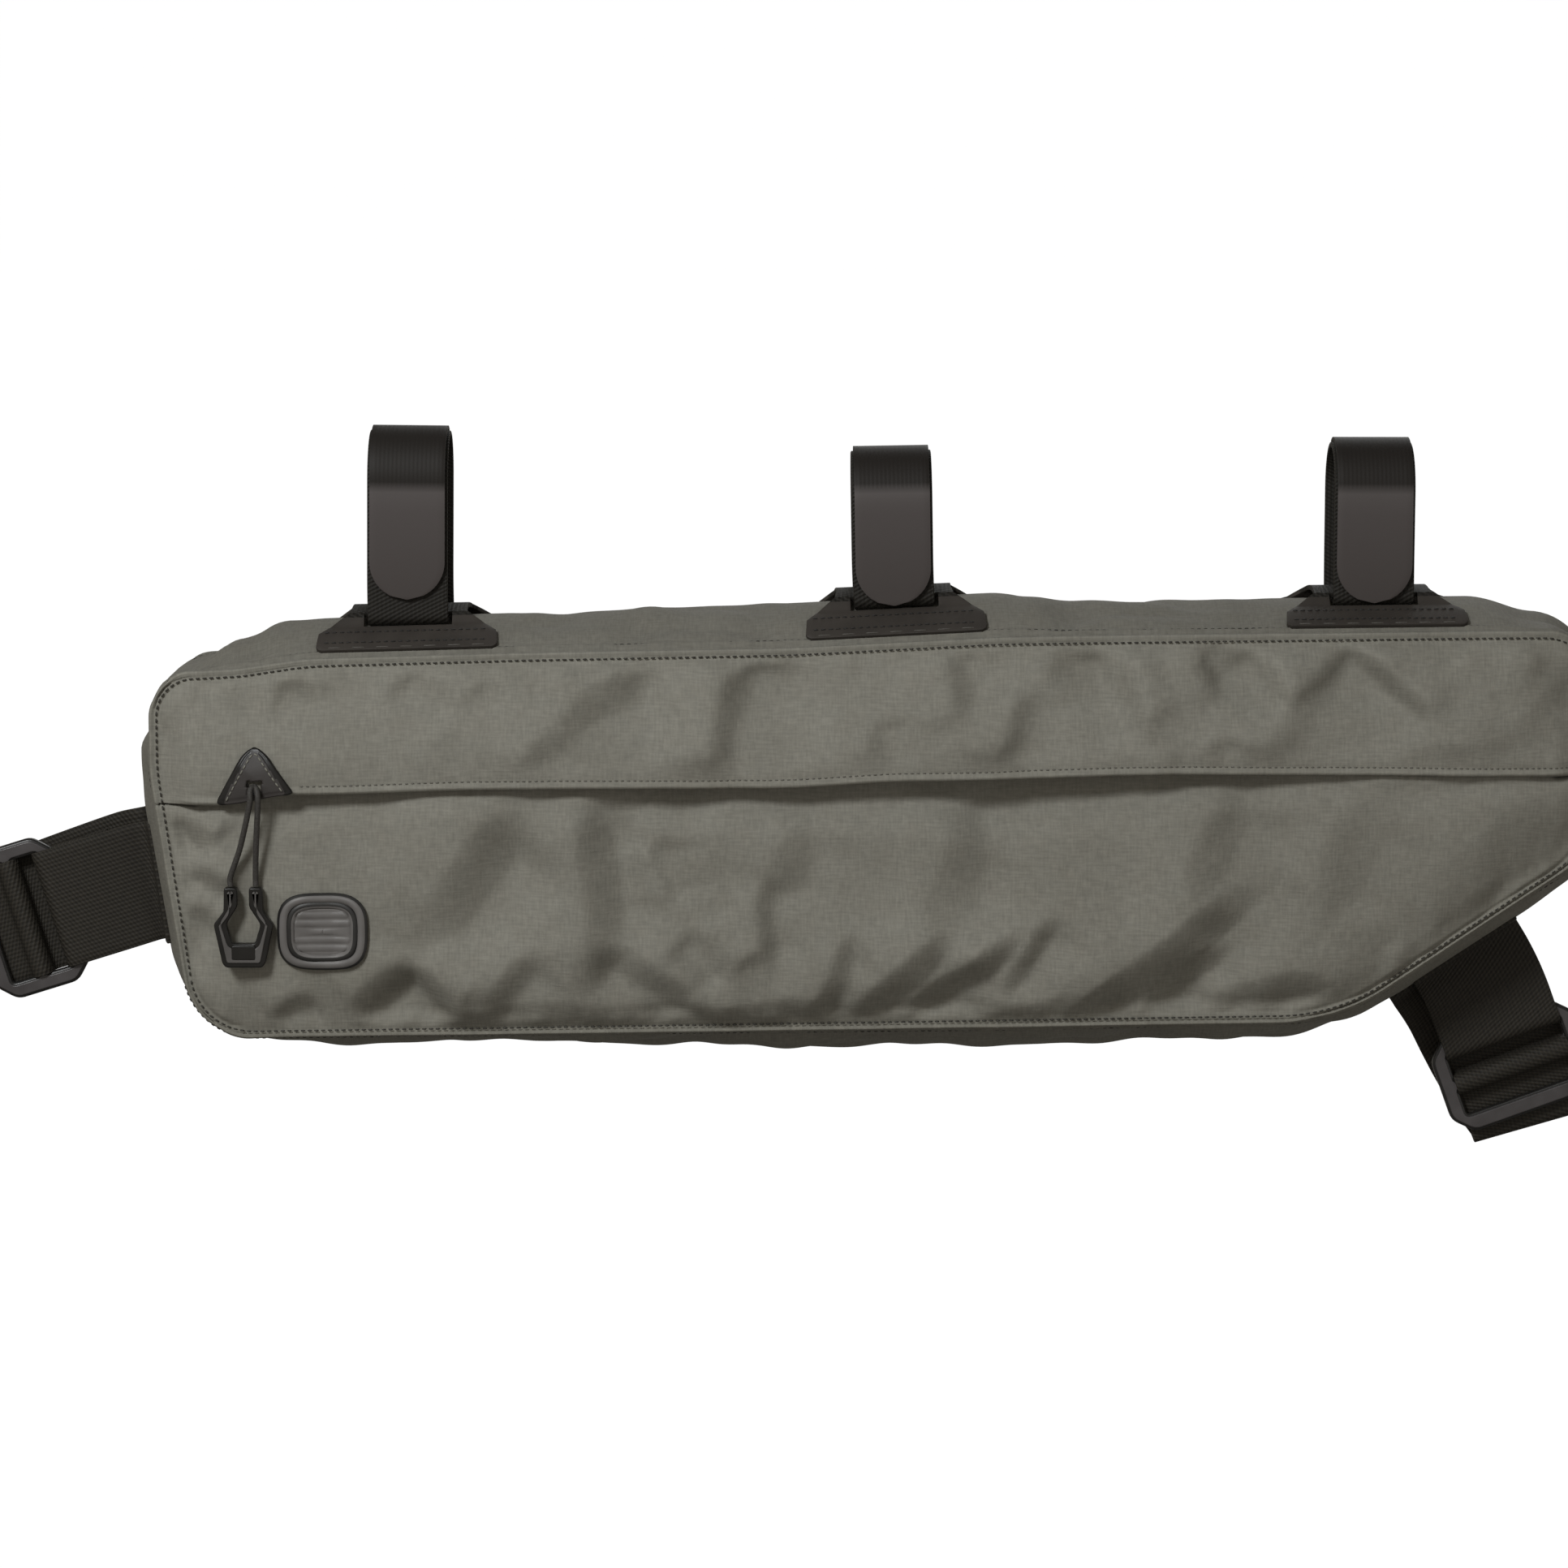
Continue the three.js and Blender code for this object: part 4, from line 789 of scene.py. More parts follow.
# The buckle's one dark plastic in two copies: the raised face lighter, with painted light, and the frame
# darker, with painted shade
LIT_BUCKLE_PLASTIC = plastic_material("buckle_plastic_painted_light", (0.048, 0.044, 0.045), (0.072, 0.067, 0.069))
SHADED_FRAME_PLASTIC = plastic_material("frame_plastic_painted_shade", (0.010, 0.0095, 0.009), (0.016, 0.015, 0.0145))
RIDGE_PLASTIC = plastic_material("ridge_plastic", (0.075, 0.070, 0.068), (0.100, 0.095, 0.092))
BLACK_PLASTIC = plastic_material("black_plastic", (0.006, 0.0055, 0.005), (0.011, 0.010, 0.009))
RUBBER = rubber_material("rubber_patch", (0.105, 0.099, 0.096), (0.135, 0.128, 0.124))
DARK_RUBBER = rubber_material("rubber_rim", (0.010, 0.0095, 0.009), (0.018, 0.017, 0.016))
CORD = grained_material("cord", (0.018, 0.016, 0.014), (0.045, 0.041, 0.037), 0.7, 2.2, (0.12, 0.8))
DARK_THREAD = thread_material("dark_thread", (0.034, 0.031, 0.025))
BLACK_THREAD = thread_material("black_thread", (0.012, 0.011, 0.010))
EDGE_THREAD = thread_material("edge_thread", (0.075, 0.069, 0.060))
CLOTH_THREAD = thread_material("cloth_thread", (0.115, 0.11, 0.092))
LIGHT_THREAD = thread_material("light_thread", (0.2, 0.195, 0.165))
TAPE = grained_material("zip_tape", (0.008, 0.008, 0.007), (0.02, 0.019, 0.017), 0.7, 2.0, (0.1, 0.7))
METAL = grained_material("zip_metal", (0.05,) * 3, (0.08,) * 3, 0.35, 2.0, (0.02, 0.5), Metallic=0.9)


def build_sky():
    """A dim sky, warmer at its level part than straight up or down."""
    world = bpy.data.worlds.new("sky")
    bpy.context.scene.world = world
    world.use_nodes = True
    nodes = world.node_tree.nodes
    links = world.node_tree.links
    background = nodes["Background"]
    background.inputs["Strength"].default_value = SKY_STRENGTH
    split = nodes.new("ShaderNodeSeparateXYZ")
    ramp = nodes.new("ShaderNodeValToRGB")
    links.new(nodes.new("ShaderNodeTexCoord").outputs["Generated"], split.inputs[0])
    upright = nodes.new("ShaderNodeMath")
    upright.operation = "ABSOLUTE"
    links.new(split.outputs[2], upright.inputs[0])
    links.new(upright.outputs[0], ramp.inputs[0])
    links.new(ramp.outputs[0], background.inputs["Color"])
    ramp.color_ramp.elements[0].color = SKY_LEVEL
    ramp.color_ramp.elements[1].color = SKY_UPRIGHT


def build_backdrop():
    """A white backdrop and floor that only the camera sees."""
    white = Nodes("white_backdrop")
    white.done((0, 0, 0, 1), 1.0, Emission_Color=(1, 1, 1, 1), Emission_Strength=1.0)
    low = cad_box[0][2] - FLOOR_BELOW * MM
    bm = bmesh.new()
    bmesh.ops.create_icosphere(bm, subdivisions=4, radius=BACKDROP_RADIUS)
    for vertex in bm.verts:
        vertex.co.z = max(vertex.co.z, low)
    mesh = bpy.data.meshes.new("floor_and_backdrop")
    bm.to_mesh(mesh)
    bm.free()
    mesh.materials.append(white.material)
    backdrop = add_object("floor_and_backdrop", mesh)
    for kind in ("diffuse", "glossy", "transmission", "shadow"):
        setattr(backdrop, f"visible_{kind}", False)


def build_lamps():
    for name, spot, size, power in LAMPS:
        lamp = bpy.data.lights.new(name, "AREA")
        lamp.energy = power
        lamp.shape = "DISK"
        lamp.size = size
        lamp.color = LAMP_COLOUR
        made = add_object(name, lamp)
        made.location = spot
        aim = Vector(LAMP_AIM) - made.location
        made.rotation_euler = aim.to_track_quat("-Z", "Y").to_euler()


GARAGE_X = GARAGE_ALONG * BAG_LENGTH
GARAGE_Z = float(flap_edge(GARAGE_X)) + GARAGE_ABOVE_EDGE
HOLE_Z = GARAGE_Z + HOLE_ABOVE_BASE + HOLE_HEIGHT / 2
HOLE_Y = -float(front_face(GARAGE_X, HOLE_Z, flap_lift(GARAGE_X, HOLE_Z))) - 0.5
PULL_X = GARAGE_X + PULL_LEAN
PULL_TOP = HOLE_Z - CORD_DROP
PULL_CLEAR = max(
    float(front_face(PULL_X + across * PULL_WIDTH, PULL_TOP - down * PULL_HEIGHT))
    for across in (-0.5, 0, 0.5)
    for down in (0, 0.25, 0.5, 0.75, 1)
)
PULL_Y = -PULL_CLEAR - 0.6 - PULL_THICKNESS / 2


def through_points(points):
    """A smooth line through the points."""
    p = np.array([2 * np.array(points[0]) - points[1], *points, 2 * np.array(points[-1]) - points[-2]])
    line = []
    for k in range(1, len(p) - 2):
        for t in np.arange(CORD_STEPS) / CORD_STEPS:
            a, b, c, d = p[k - 1:k + 3]
            squared = (2 * a - 5 * b + 4 * c - d) * t**2
            cubed = (3 * b - a - 3 * c + d) * t**3
            line.append(0.5 * (2 * b + (c - a) * t + squared + cubed))
    line.append(p[-2])
    return np.array(line)


def build_cord():
    """The cord from one arm of the pull, through the garage's hole, to the other arm."""
    arm = (PULL_HALF[0][0] + PULL_HALF[1][0]) / 4 * PULL_WIDTH
    bend = CORD_SPREAD / 2
    out = HOLE_Y - CLOTH - CORD_DIAMETER / 2 - GAP
    ends = PULL_TOP + GAP
    inside = HOLE_Y - CORD_DIAMETER / 2 - GAP
    top = HOLE_Z
    halves = []
    for sign, share in ((-1, 0.5), (1, 0.3)):
        low, high = PULL_X + sign * arm, GARAGE_X + sign * bend
        halves.append([
            (low, PULL_Y, ends),
            (low, PULL_Y, ends + 3),
            (lerp(low, high, share), lerp(PULL_Y, out, 0.5), lerp(ends, top, 0.4)),
            (high, out - 0.8, top - 5),
            (GARAGE_X + sign * bend * 0.8, out - 0.3, top - 0.6),
        ])
    points = [*halves[0], (GARAGE_X, inside - 0.2, top + 0.6), *halves[1][::-1]]
    line = (through_points(points) + (OFFSET_X, 0, OFFSET_Z)) * MM
    curve = bpy.data.curves.new("zip_cord", "CURVE")
    curve.dimensions = "3D"
    spline = curve.splines.new("POLY")
    spline.points.add(len(line) - 1)
    for point, place in zip(spline.points, line):
        point.co = (*place, 1)
    curve.bevel_depth = CORD_DIAMETER / 2 * MM
    curve.bevel_resolution = 4
    curve.use_fill_caps = True
    curve.materials.append(CORD)
    made = add_object("zip_cord", curve)
    length = float(np.linalg.norm(np.diff(line, axis=0), axis=1).sum())
    hole = (np.array([GARAGE_X + OFFSET_X, out, top - HOLE_HEIGHT / 2 + OFFSET_Z]) * MM).tolist()
    return made, length, hole


def fill_between(us, vs, bottom, top, left, right):
    """The x and z of points between four edges, each a function from shares to (x, z)."""
    u = us[:, None, None]
    v = vs[None, :, None]
    low_left, low_right = bottom(np.array([0.0, 1.0]))
    high_left, high_right = top(np.array([0.0, 1.0]))
    filled = (
        (1 - v) * bottom(us)[:, None] + v * top(us)[:, None]
        + (1 - u) * left(vs)[None] + u * right(vs)[None]
        - (1 - u) * (1 - v) * low_left - u * (1 - v) * low_right
        - (1 - u) * v * high_left - u * v * high_right
    )
    return filled[..., 0], filled[..., 1]


def stretch(start, end):
    """The edge along the seam between two places on the outline."""
    def edge(shares):
        x, z, *_ = outline_at(lerp(start, end, shares), EDGE)
        return np.stack([x, z], axis=1)
    return edge


def crowded(count):
    """Shares from 0 to 1 that lie closer together near both ends."""
    even = np.linspace(0, 1, count + 1)
    return 0.5 * even + 0.5 * (0.5 - 0.5 * np.cos(math.pi * even))


def side_crossing(start, end, above):
    """The distance along one side of the outline at which it meets the flap's edge, plus an allowance."""
    rising = outline_at(end)[1] > outline_at(start)[1]

    def past(distance):
        x, z, *_ = outline_at(distance)
        return (z > flap_edge(x) + above) == rising
    return bisect(start, end, past)


def seam_roll(depth):
    """The cloth turns in at the seam, with a ridge along its fold and a groove under the stitches."""
    return 0.9 * bell(depth, 0, 0.35) - 0.55 * bell(depth, 0.6, 0.4) + 0.75 * bell(depth, 1.6, 0.7)


def puckers(x, z, depth, seed):
    """Small gathers that run in from a seam."""
    near = bell(depth, 0, PUCKER_REACH) * smooth((depth - 0.8) / 2.5)
    return near * (0.9 * ripple(x, 0.5 * z, 17.0, seed) + 0.34 * ripple(x, 0.4 * z, 8.0, seed + 1))


def unevenness(x, z, seed):
    """Soft waves, with creases along some of them."""
    waves = sum(height * ripple(x, z, length, seed + k) for k, (height, length) in enumerate(CLOTH_WAVES))
    creases = np.abs(ripple(x, 0.7 * z, 52, seed + 3, 4)) - 0.35
    return waves + CREASES * creases


def bottom_sag(x, depth):
    """The load sags behind the lower part of the front, so the cloth turns under above the bottom seam."""
    along = smooth((x - SAG_FROM) / 35) * (1 - 0.65 * smooth((x - SAG_EASES_FROM) / 60))
    uneven = 1 + 0.3 * ripple(x, 0 * x, 30, 61, 4)
    across = np.clip(depth / (SAG_ROLL * uneven), 0, 1)
    fade = 1 - smooth((depth - SAG_FADES_FROM) / 38)
    return BOTTOM_SAG * along * lerp(across, smooth(across), 0.4) * fade


def upper_face(x, z):
    """How far the flap and the cloth above it stand in front of the bag's middle."""
    depth = inside_by(x, z)
    calm = smooth((z - flap_edge(x) - 3) / 9)
    fade = smooth(depth / FOLD_MARGIN)
    face = front_face(x, z, flap_lift(x, z))
    folds = fold_depth(x + OFFSET_X, z + OFFSET_Z, UPPER_FOLDS) * (0.25 + 0.75 * calm)
    # The zip behind the flap holds the cloth out.
    limit = UPPER_SINK_LIMIT + 4 * smooth((z - flap_edge(x) - ZIP_BAND) / 8)
    sunk = np.where(folds > 0, limit * np.tanh(folds / limit), folds)
    face = face - sunk * fade
    face = face + unevenness(x, z, 11) * fade * (0.4 + 0.6 * calm) + puckers(x, z, depth, 21)
    return face - seam_roll(depth)


def lower_face(x, z):
    """How far the cloth below the flap stands in front of the bag's middle; it sinks along the zip."""
    depth = inside_by(x, z)
    below = flap_edge(x) - z
    fade = smooth(depth / FOLD_MARGIN)
    face = front_face(x, z)
    face = face - fold_depth(x + OFFSET_X, z + OFFSET_Z, LOWER_FOLDS) * fade * smooth((below - 1) / 7)
    face = face + unevenness(x, z, 31) * fade + puckers(x, z, depth, 41)
    low = 1 - smooth((z - 0.28 * BAG_HEIGHT) / 30)
    face = face + bottom_sag(x, depth) * low
    places, reaches = zip(*SUNK_BELOW_FLAP)
    reach = np.interp(x, places, reaches)
    sunk = SUNK_PER_REACH * reach - SUNK_LESS
    past = np.maximum(0, below - 0.7 * reach) / (0.5 * reach + 2)
    middle = flap_open(x)
    return face - seam_roll(depth) - middle * sunk * np.exp(-(past**2)) * smooth((below + 4) / 4)


def panel_object(name, x, z, face):
    made = grid_object(name, in_frame(x, -face, z), np.stack([x, z], axis=2), RIPSTOP)
    return thicken(made, SEWN_CLOTH)


def along_flap(left, right, above):
    """The edge along the flap's line between two places on the outline, raised by a function of x."""
    start = float(outline_at(left, EDGE)[0])
    end = float(outline_at(right, EDGE)[0])

    def edge(shares):
        x = lerp(start, end, shares)
        return np.stack([x, flap_edge(x) + above(x)], axis=1)
    return edge


def build_upper_panel():
    """The front above the flap's line, with the flap itself."""
    left = side_crossing(MARKS["topLeft"], TOTAL + MARKS["bottomLeft"], 0)
    right = side_crossing(MARKS["lowerTip"], MARKS["topRight"], 0)
    us = crowded(int(BAG_LENGTH / PANEL_STEP))
    vs = np.concatenate([np.linspace(0, 0.07, 9)[:-1], np.linspace(0.07, 1, int(44 / PANEL_STEP))])
    bottom = along_flap(left, right, np.zeros_like)
    top = stretch(MARKS["topLeft"], MARKS["topRight"])
    sides = stretch(left, MARKS["topLeft"]), stretch(right, MARKS["topRight"])
    x, z = fill_between(us, vs, bottom, top, *sides)
    above = z - flap_edge(x)
    face = upper_face(x, z)
    # The flap's edge is folded over and topstitched: a lip, then a slight groove along the stitches.
    lip = smooth((from_ends(x) - 4) / 8)
    rolled = 0.45 * bell(above, 0.9, 0.75) - 0.5 * bell(above, 0, 0.45) - 0.3 * bell(above, 2.7, 0.7)
    face = face + lip * rolled
    made = panel_object("cloth_upper", x, z, face)
    return finish_piece(made, "ripstop_cloth", "front_panel_upper")


def build_lower_panel():
    """The front below the flap's line, from just behind the flap down to the bottom seam."""
    left = side_crossing(TOTAL + MARKS["bottomLeft"], MARKS["topLeft"], -GAP)
    right = side_crossing(MARKS["lowerTip"], MARKS["topRight"], -GAP)
    us = crowded(int(BAG_LENGTH / PANEL_STEP))
    vs = np.linspace(0, 1, int(86 / PANEL_STEP))
    bottom = stretch(MARKS["bottomLeft"], MARKS["bottomBend"])
    top = along_flap(left, right, flap_cover)
    sides = stretch(TOTAL + MARKS["bottomLeft"], left), stretch(MARKS["bottomBend"], right)
    x, z = fill_between(us, vs, bottom, top, *sides)
    below = flap_edge(x) - z
    # A plain seam closes the ends of the flap's line.
    face = lower_face(x, z) - 0.9 * (1 - flap_open(x)) * bell(below, 0, 0.8)
    made = panel_object("cloth_lower", x, z, face)
    return finish_piece(made, "ripstop_cloth", "front_panel_lower")


def build_back_panel():
    bottom = stretch(MARKS["bottomLeft"], MARKS["bottomBend"])
    top = stretch(MARKS["topLeft"], MARKS["topRight"])
    left = stretch(TOTAL + MARKS["bottomLeft"], MARKS["topLeft"])
    right = stretch(MARKS["bottomBend"], MARKS["topRight"])
    x, z = fill_between(crowded(210), crowded(60), bottom, top, left, right)
    depth = inside_by(x, z)
    fade = smooth(depth / FOLD_MARGIN)
    face = BAG_WIDTH / 2 + CLOTH + BACK_PUFF * pillow(depth)
    waves = 0.9 * ripple(x, z, 60, 61) * fade + 0.3 * ripple(x, z, 22, 62) * fade
    face = face + waves + puckers(x, z, depth, 63) - seam_roll(depth)
    points = in_frame(x, face, z)[::-1]
    made = grid_object("cloth_back", points, np.stack([x, z], axis=2)[::-1], RIPSTOP)
    thicken(made, SEWN_CLOTH)
    return finish_piece(made, "ripstop_cloth", "back_panel")


def away_from_fittings(distance):
    """1 on bare gusset and 0 under the plates and strap roots."""
    clear = np.ones(np.shape(distance))
    spots = [(top_distance_at(along * BAG_LENGTH), PLATE_WIDTH / 2) for along, *_ in LOOPS]
    spots += [(edge_distance(strap), WEBBING_WIDTH / 2) for strap in STRAPS]
    for middle, half in spots:
        clear = clear * smooth((apart(distance, middle) - half - 2) / 14)
    return clear


def edge_distance(strap):
    """How far along the outline a strap leaves the bag."""
    names = [corner[0] for corner in OUTLINE_CORNERS]
    start = MARKS[strap["edge"]]
    following = MARKS[names[(names.index(strap["edge"]) + 1) % len(names)]]
    return lerp(start, following if following > start else following + TOTAL, strap["share"])


def build_gusset():
    """The strip of cloth all round the bag, between the front's seam and the back's."""
    reach = GUSSET_REACH
    count = int(TOTAL / 1.6)
    distance = np.linspace(0, TOTAL, count + 1)[:-1]
    half = np.concatenate([np.arange(0, 4.2, 0.45), np.linspace(4.6, reach, 16)])
    ys = np.concatenate([half - reach, (reach - half)[::-1][1:]])
    d, y = np.meshgrid(distance, ys, indexing="ij")
    x, z, nx, nz, bulge = outline_at(d)
    inward = reach - np.abs(y)
    rise = EDGE + gusset_rise(bulge, np.clip(y / reach, -1, 1))
    calm = away_from_fittings(d)
    waves = 0.8 * ripple(d, 0.3 * y, 55, 71) + 0.5 * ripple(d, 0.7 * y, 19, 72)
    waves = waves + GUSSET_CREASES * (np.abs(ripple(d, 1.6 * y, 50, 74, 4)) - 0.55)
    # The left end is smoother.
    waves = waves * (1 - 0.8 * smooth((-nx - 0.12) / 0.3))
    for where, amount, length in GUSSET_SHAPING:
        middle = MARKS[where] if where in MARKS else top_distance_at(where * BAG_LENGTH)
        waves = waves + amount * bell(apart(d, middle), 0, length)
    rise = rise + calm * waves * smooth(inward / 9)
    rise = rise + 0.22 * ripple(d, 0.25 * y, 8, 73) * bell(inward, 0, 8) * calm
    # The seam allowance lies on the gusset's side, with a ridge at its edge.
    rise = rise + 0.55 * bell(inward, SEAM_ALLOWANCE, 0.6) - 0.5 * bell(inward, 0, 0.7)
    points = in_frame(x + rise * nx, y, z + rise * nz)
    uvs = np.stack(np.meshgrid(np.linspace(0, TOTAL, count + 1), ys * 1.25, indexing="ij"), axis=2)
    # The gusset takes the darker copy of the nylon, with painted shade
    made = grid_object("cloth_gusset", points[::-1], uvs[::-1], SHADED_SIDE_CLOTH, wrap_u=True)
    thicken(made, GUSSET_CLOTH)
    return finish_piece(made, "ripstop_cloth", "gusset")


def smooth_path(path, closed):
    """Rounds off a path of rows twice and spaces its points evenly."""
    p = np.array(path, float)
    for _ in range(2):
        a = p
        b = np.roll(p, -1, axis=0)
        if closed:
            p = np.stack([0.75 * a + 0.25 * b, 0.25 * a + 0.75 * b], axis=1).reshape(-1, p.shape[1])
        else:
            a, b = p[:-1], p[1:]
            cut = np.stack([0.75 * a + 0.25 * b, 0.25 * a + 0.75 * b], axis=1).reshape(-1, p.shape[1])
            p = np.concatenate([p[:1], cut[1:-1], p[-1:]])
    if closed:
        p = np.concatenate([p, p[:1]])
    length = np.concatenate([[0], np.cumsum(np.hypot(*np.diff(p[:, :2], axis=0).T))])
    count = max(8, int(length[-1] / STRIP_STEP))
    at = np.linspace(0, length[-1], count + 1)
    even = np.stack([np.interp(at, length, p[:, k]) for k in range(p.shape[1])], axis=1)
    return (even[:-1] if closed else even), at


def arc(s, t, radius, start, end, steps=18):
    angles = np.radians(np.linspace(start, end, steps + 1))
    return [(s + radius * math.cos(a), t + radius * math.sin(a)) for a in angles]


def strip(name, path, half, place, thickness, material, closed=False, columns=10, bevel=0.4, from_v=0.0):
    """A flat strip of cloth along a side-view path of (s, t) rows, with a half width and shift if given."""
    rows = [tuple(r) + (half, 0.0)[len(r) - 2:] for r in path]
    even, at = smooth_path(rows, closed)
    across = np.linspace(-1, 1, columns + 1)
    s, t, halves, shift = (column[:, None] for column in even.T)
    points = place(s, t, halves * across + shift)
    uvs = np.stack(np.broadcast_arrays(half * across, at[:, None] - from_v), axis=2)
    made = grid_object(name, points, uvs, material, wrap_u=closed)
    thicken(made, thickness, 0.0, bevel)
    return made


def loop_placer(index):
    """Puts (y, up, across) on a loop that stands square to the crest and leans to one side above it."""
    along, _, _, lean = LOOPS[index]
    x = along * BAG_LENGTH
    _, crest_z, nx, nz, bulge = (float(v) for v in outline_at(top_distance_at(x)))
    base_x = x + nx * (EDGE + bulge) + OFFSET_X
    base_z = crest_z + nz * (EDGE + bulge) + OFFSET_Z

    def place(y, up, across):
        share = np.clip(up / LEAN_OVER, 0, 1)
        turn = math.radians(lean) * share
        aside = math.radians(lean) * (up - LEAN_OVER * (share - share * share / 2)) * (share > 0)
        rise = up - across * np.sin(turn)
        shift = aside + across * np.cos(turn)
        x = base_x + rise * nx + shift * nz
        z = base_z + rise * nz - shift * nx
        return np.stack(np.broadcast_arrays(x, y, z), axis=-1)
    return place, bulge


def crest_fall(bulge, y):
    """The gusset's height over its own crest: zero in its middle and negative to each side."""
    return gusset_rise(bulge, y / GUSSET_REACH) - bulge


def loop_path(height, bulge):
    """The side view of a loop's band: under the plate, up through both slots and over."""
    slot = SLOT_APART / 2
    leg = LOOP_DEPTH / 2 - LOOP_THICKNESS / 2
    under = GAP + LOOP_THICKNESS / 2
    bend = 1.7
    top = height - LOOP_THICKNESS / 2
    near = slot - bend - 2
    fall = float(crest_fall(bulge, slot - bend))
    low = under + float(crest_fall(bulge, near))
    side = [(near, low), *arc(slot - bend, under + fall + bend, bend, -90, 0, 6)]
    side += [(slot, under + bend + PLATE_THICKNESS + 3), (leg, 0.4 * height)]
    other = [(-s, t) for s, t in reversed(side)]
    return [(0, under), *side, *arc(0, top - leg, leg, 0, 180, 40), *other]


def build_loop(index):
    height = LOOPS[index][1]
    place, bulge = loop_placer(index)
    name = f"webbing_loop_{index + 1}"
    path = loop_path(height, bulge)
    # The loop takes the darker webbing, with painted shade
    made = strip(name, path, LOOP_WIDTH / 2, place, LOOP_THICKNESS, SHADED_LOOP_CLOTH, closed=True)
    return finish_piece(made, "webbing", f"strap_loop_{index + 1}")


def build_tab(index):
    """The cloth tab that lies over a loop and hangs down in front of it to a rounded end."""
    _, height, tab_end, _ = LOOPS[index]
    place, _ = loop_placer(index)
    away = LOOP_THICKNESS / 2 + GAP + TAB_THICKNESS / 2
    leg = LOOP_DEPTH / 2 - LOOP_THICKNESS / 2
    middle = height - LOOP_THICKNESS / 2 - leg
    half = TAB_WIDTH / 2
    path = [(*p, half, 0) for p in arc(0, middle, leg + away, TAB_START, 180, 30)]
    for up in np.arange(middle - 2, tab_end + half, -2.0):
        path.append((-leg - away, up, half, 0))
    for angle in np.linspace(0, math.pi / 2 * 0.99, 16):
        path.append((-leg - away, tab_end + half * (1 - math.sin(angle)), half * math.cos(angle), 0))
    from_v = TAB_DARK_LENGTHS[index]
    made = strip(f"tab_{index + 1}", path, half, place, TAB_THICKNESS, TAB_CLOTH, bevel=0.35, from_v=from_v)
    return finish_piece(made, "coated_cloth", f"strap_tab_{index + 1}")


def build_plate(index):
    """The plate under a loop: a raised waist, a slot on each side of it and two sewn flanges."""
    place, bulge = loop_placer(index)
    slot = SLOT_APART / 2
    opening = LOOP_THICKNESS / 2 + SLOT_SPARE
    raised = LOOP_THICKNESS + 2 * GAP + 0.3
    slot_half = LOOP_WIDTH / 2 + SLOT_SPARE
    flange = PLATE_WIDTH / 2
    waist = PLATE_WAIST / 2
    table = np.array([
        (PLATE_REACH, flange - 1.5, 0.4),
        (PLATE_REACH - 0.6, flange - 0.4, 0.4),
        (PLATE_REACH - 1.5, flange, 0.4),
        (lerp(slot, PLATE_REACH, 0.45), flange - 0.5, 0.4),
        (slot + opening, flange - 4, 0.4),
        (slot - opening, waist + 0.5, raised + 0.2),
        (0.45 * slot, waist, raised),
        (0, waist, raised),
    ])[::-1]
    rows = np.unique(np.concatenate([np.arange(0, PLATE_REACH, 0.9), table[:, 0]]))
    ys = np.concatenate([-rows[::-1][:-1], rows])
    halves = np.interp(np.abs(ys), table[:, 0], table[:, 1])
    raise_by = np.interp(np.abs(ys), table[:, 0], table[:, 2])
    inner = np.linspace(-slot_half, slot_half, 17)
    side = np.linspace(0, 1, 8)
    left = lerp(-halves[:, None], -slot_half, side)[:, :-1]
    across = np.concatenate([left, np.tile(inner, (len(ys), 1)), -left[:, ::-1]], axis=1)
    up = crest_fall(bulge, ys) + raise_by + PLATE_THICKNESS
    points = place(ys[:, None], up[:, None], across)
    uvs = np.stack(np.broadcast_arrays(across, ys[:, None]), axis=2)
    has = np.ones((len(ys) - 1, across.shape[1] - 1), bool)
    centre = (np.abs(ys[:-1]) + np.abs(ys[1:])) / 2
    in_slot = (centre > slot - opening) & (centre < slot + opening)
    has[np.ix_(in_slot, np.arange(7, 23))] = False
    made = grid_object(f"plate_{index + 1}", points, uvs, COATED, has=has)
    made.data.flip_normals()
    # The middle between the flanges takes the loops' darker webbing, with its painted shade
    made.data.materials.append(SHADED_LOOP_CLOTH)
    for polygon in made.data.polygons:
        polygon.material_index = int(abs(polygon.center.y) < (PLATE_REACH - PLATE_FLANGE) * MM)
    thicken(made, PLATE_THICKNESS, -1.0, 0.35)
    return finish_piece(made, "coated_cloth", f"strap_plate_{index + 1}")


def build_plate_stitches(index):
    """Rows of stitches along a plate's front and back flanges."""
    place, bulge = loop_placer(index)
    across = np.linspace(-PLATE_WIDTH / 2 + 2, PLATE_WIDTH / 2 - 2, 60)
    for side in (-1, 1):
        for row, inward in enumerate(PLATE_STITCH_ROWS):
            y = side * (PLATE_REACH - inward)
            up = crest_fall(bulge, y) + 0.4 + PLATE_THICKNESS
            line = place(y, up + 0.1, across)
            normals = place(y + side * 0.6, up + 1.0, across) - place(y, up, across)
            name = f"plate_{index + 1}_stitches_{row + 1}_{'front' if side < 0 else 'back'}"
            stitch_row(name, line, normals, BLACK_THREAD, PLATE_STITCH)
        y = side * (PLATE_REACH - 0.8)
        up = crest_fall(bulge, y) + 0.4 + PLATE_THICKNESS - 0.1
        line = place(y, up, across)
        name = f"plate_{index + 1}_edge_{'front' if side < 0 else 'back'}"
        stitch_row(name, line, normals, EDGE_THREAD, PLATE_EDGE_STITCH)


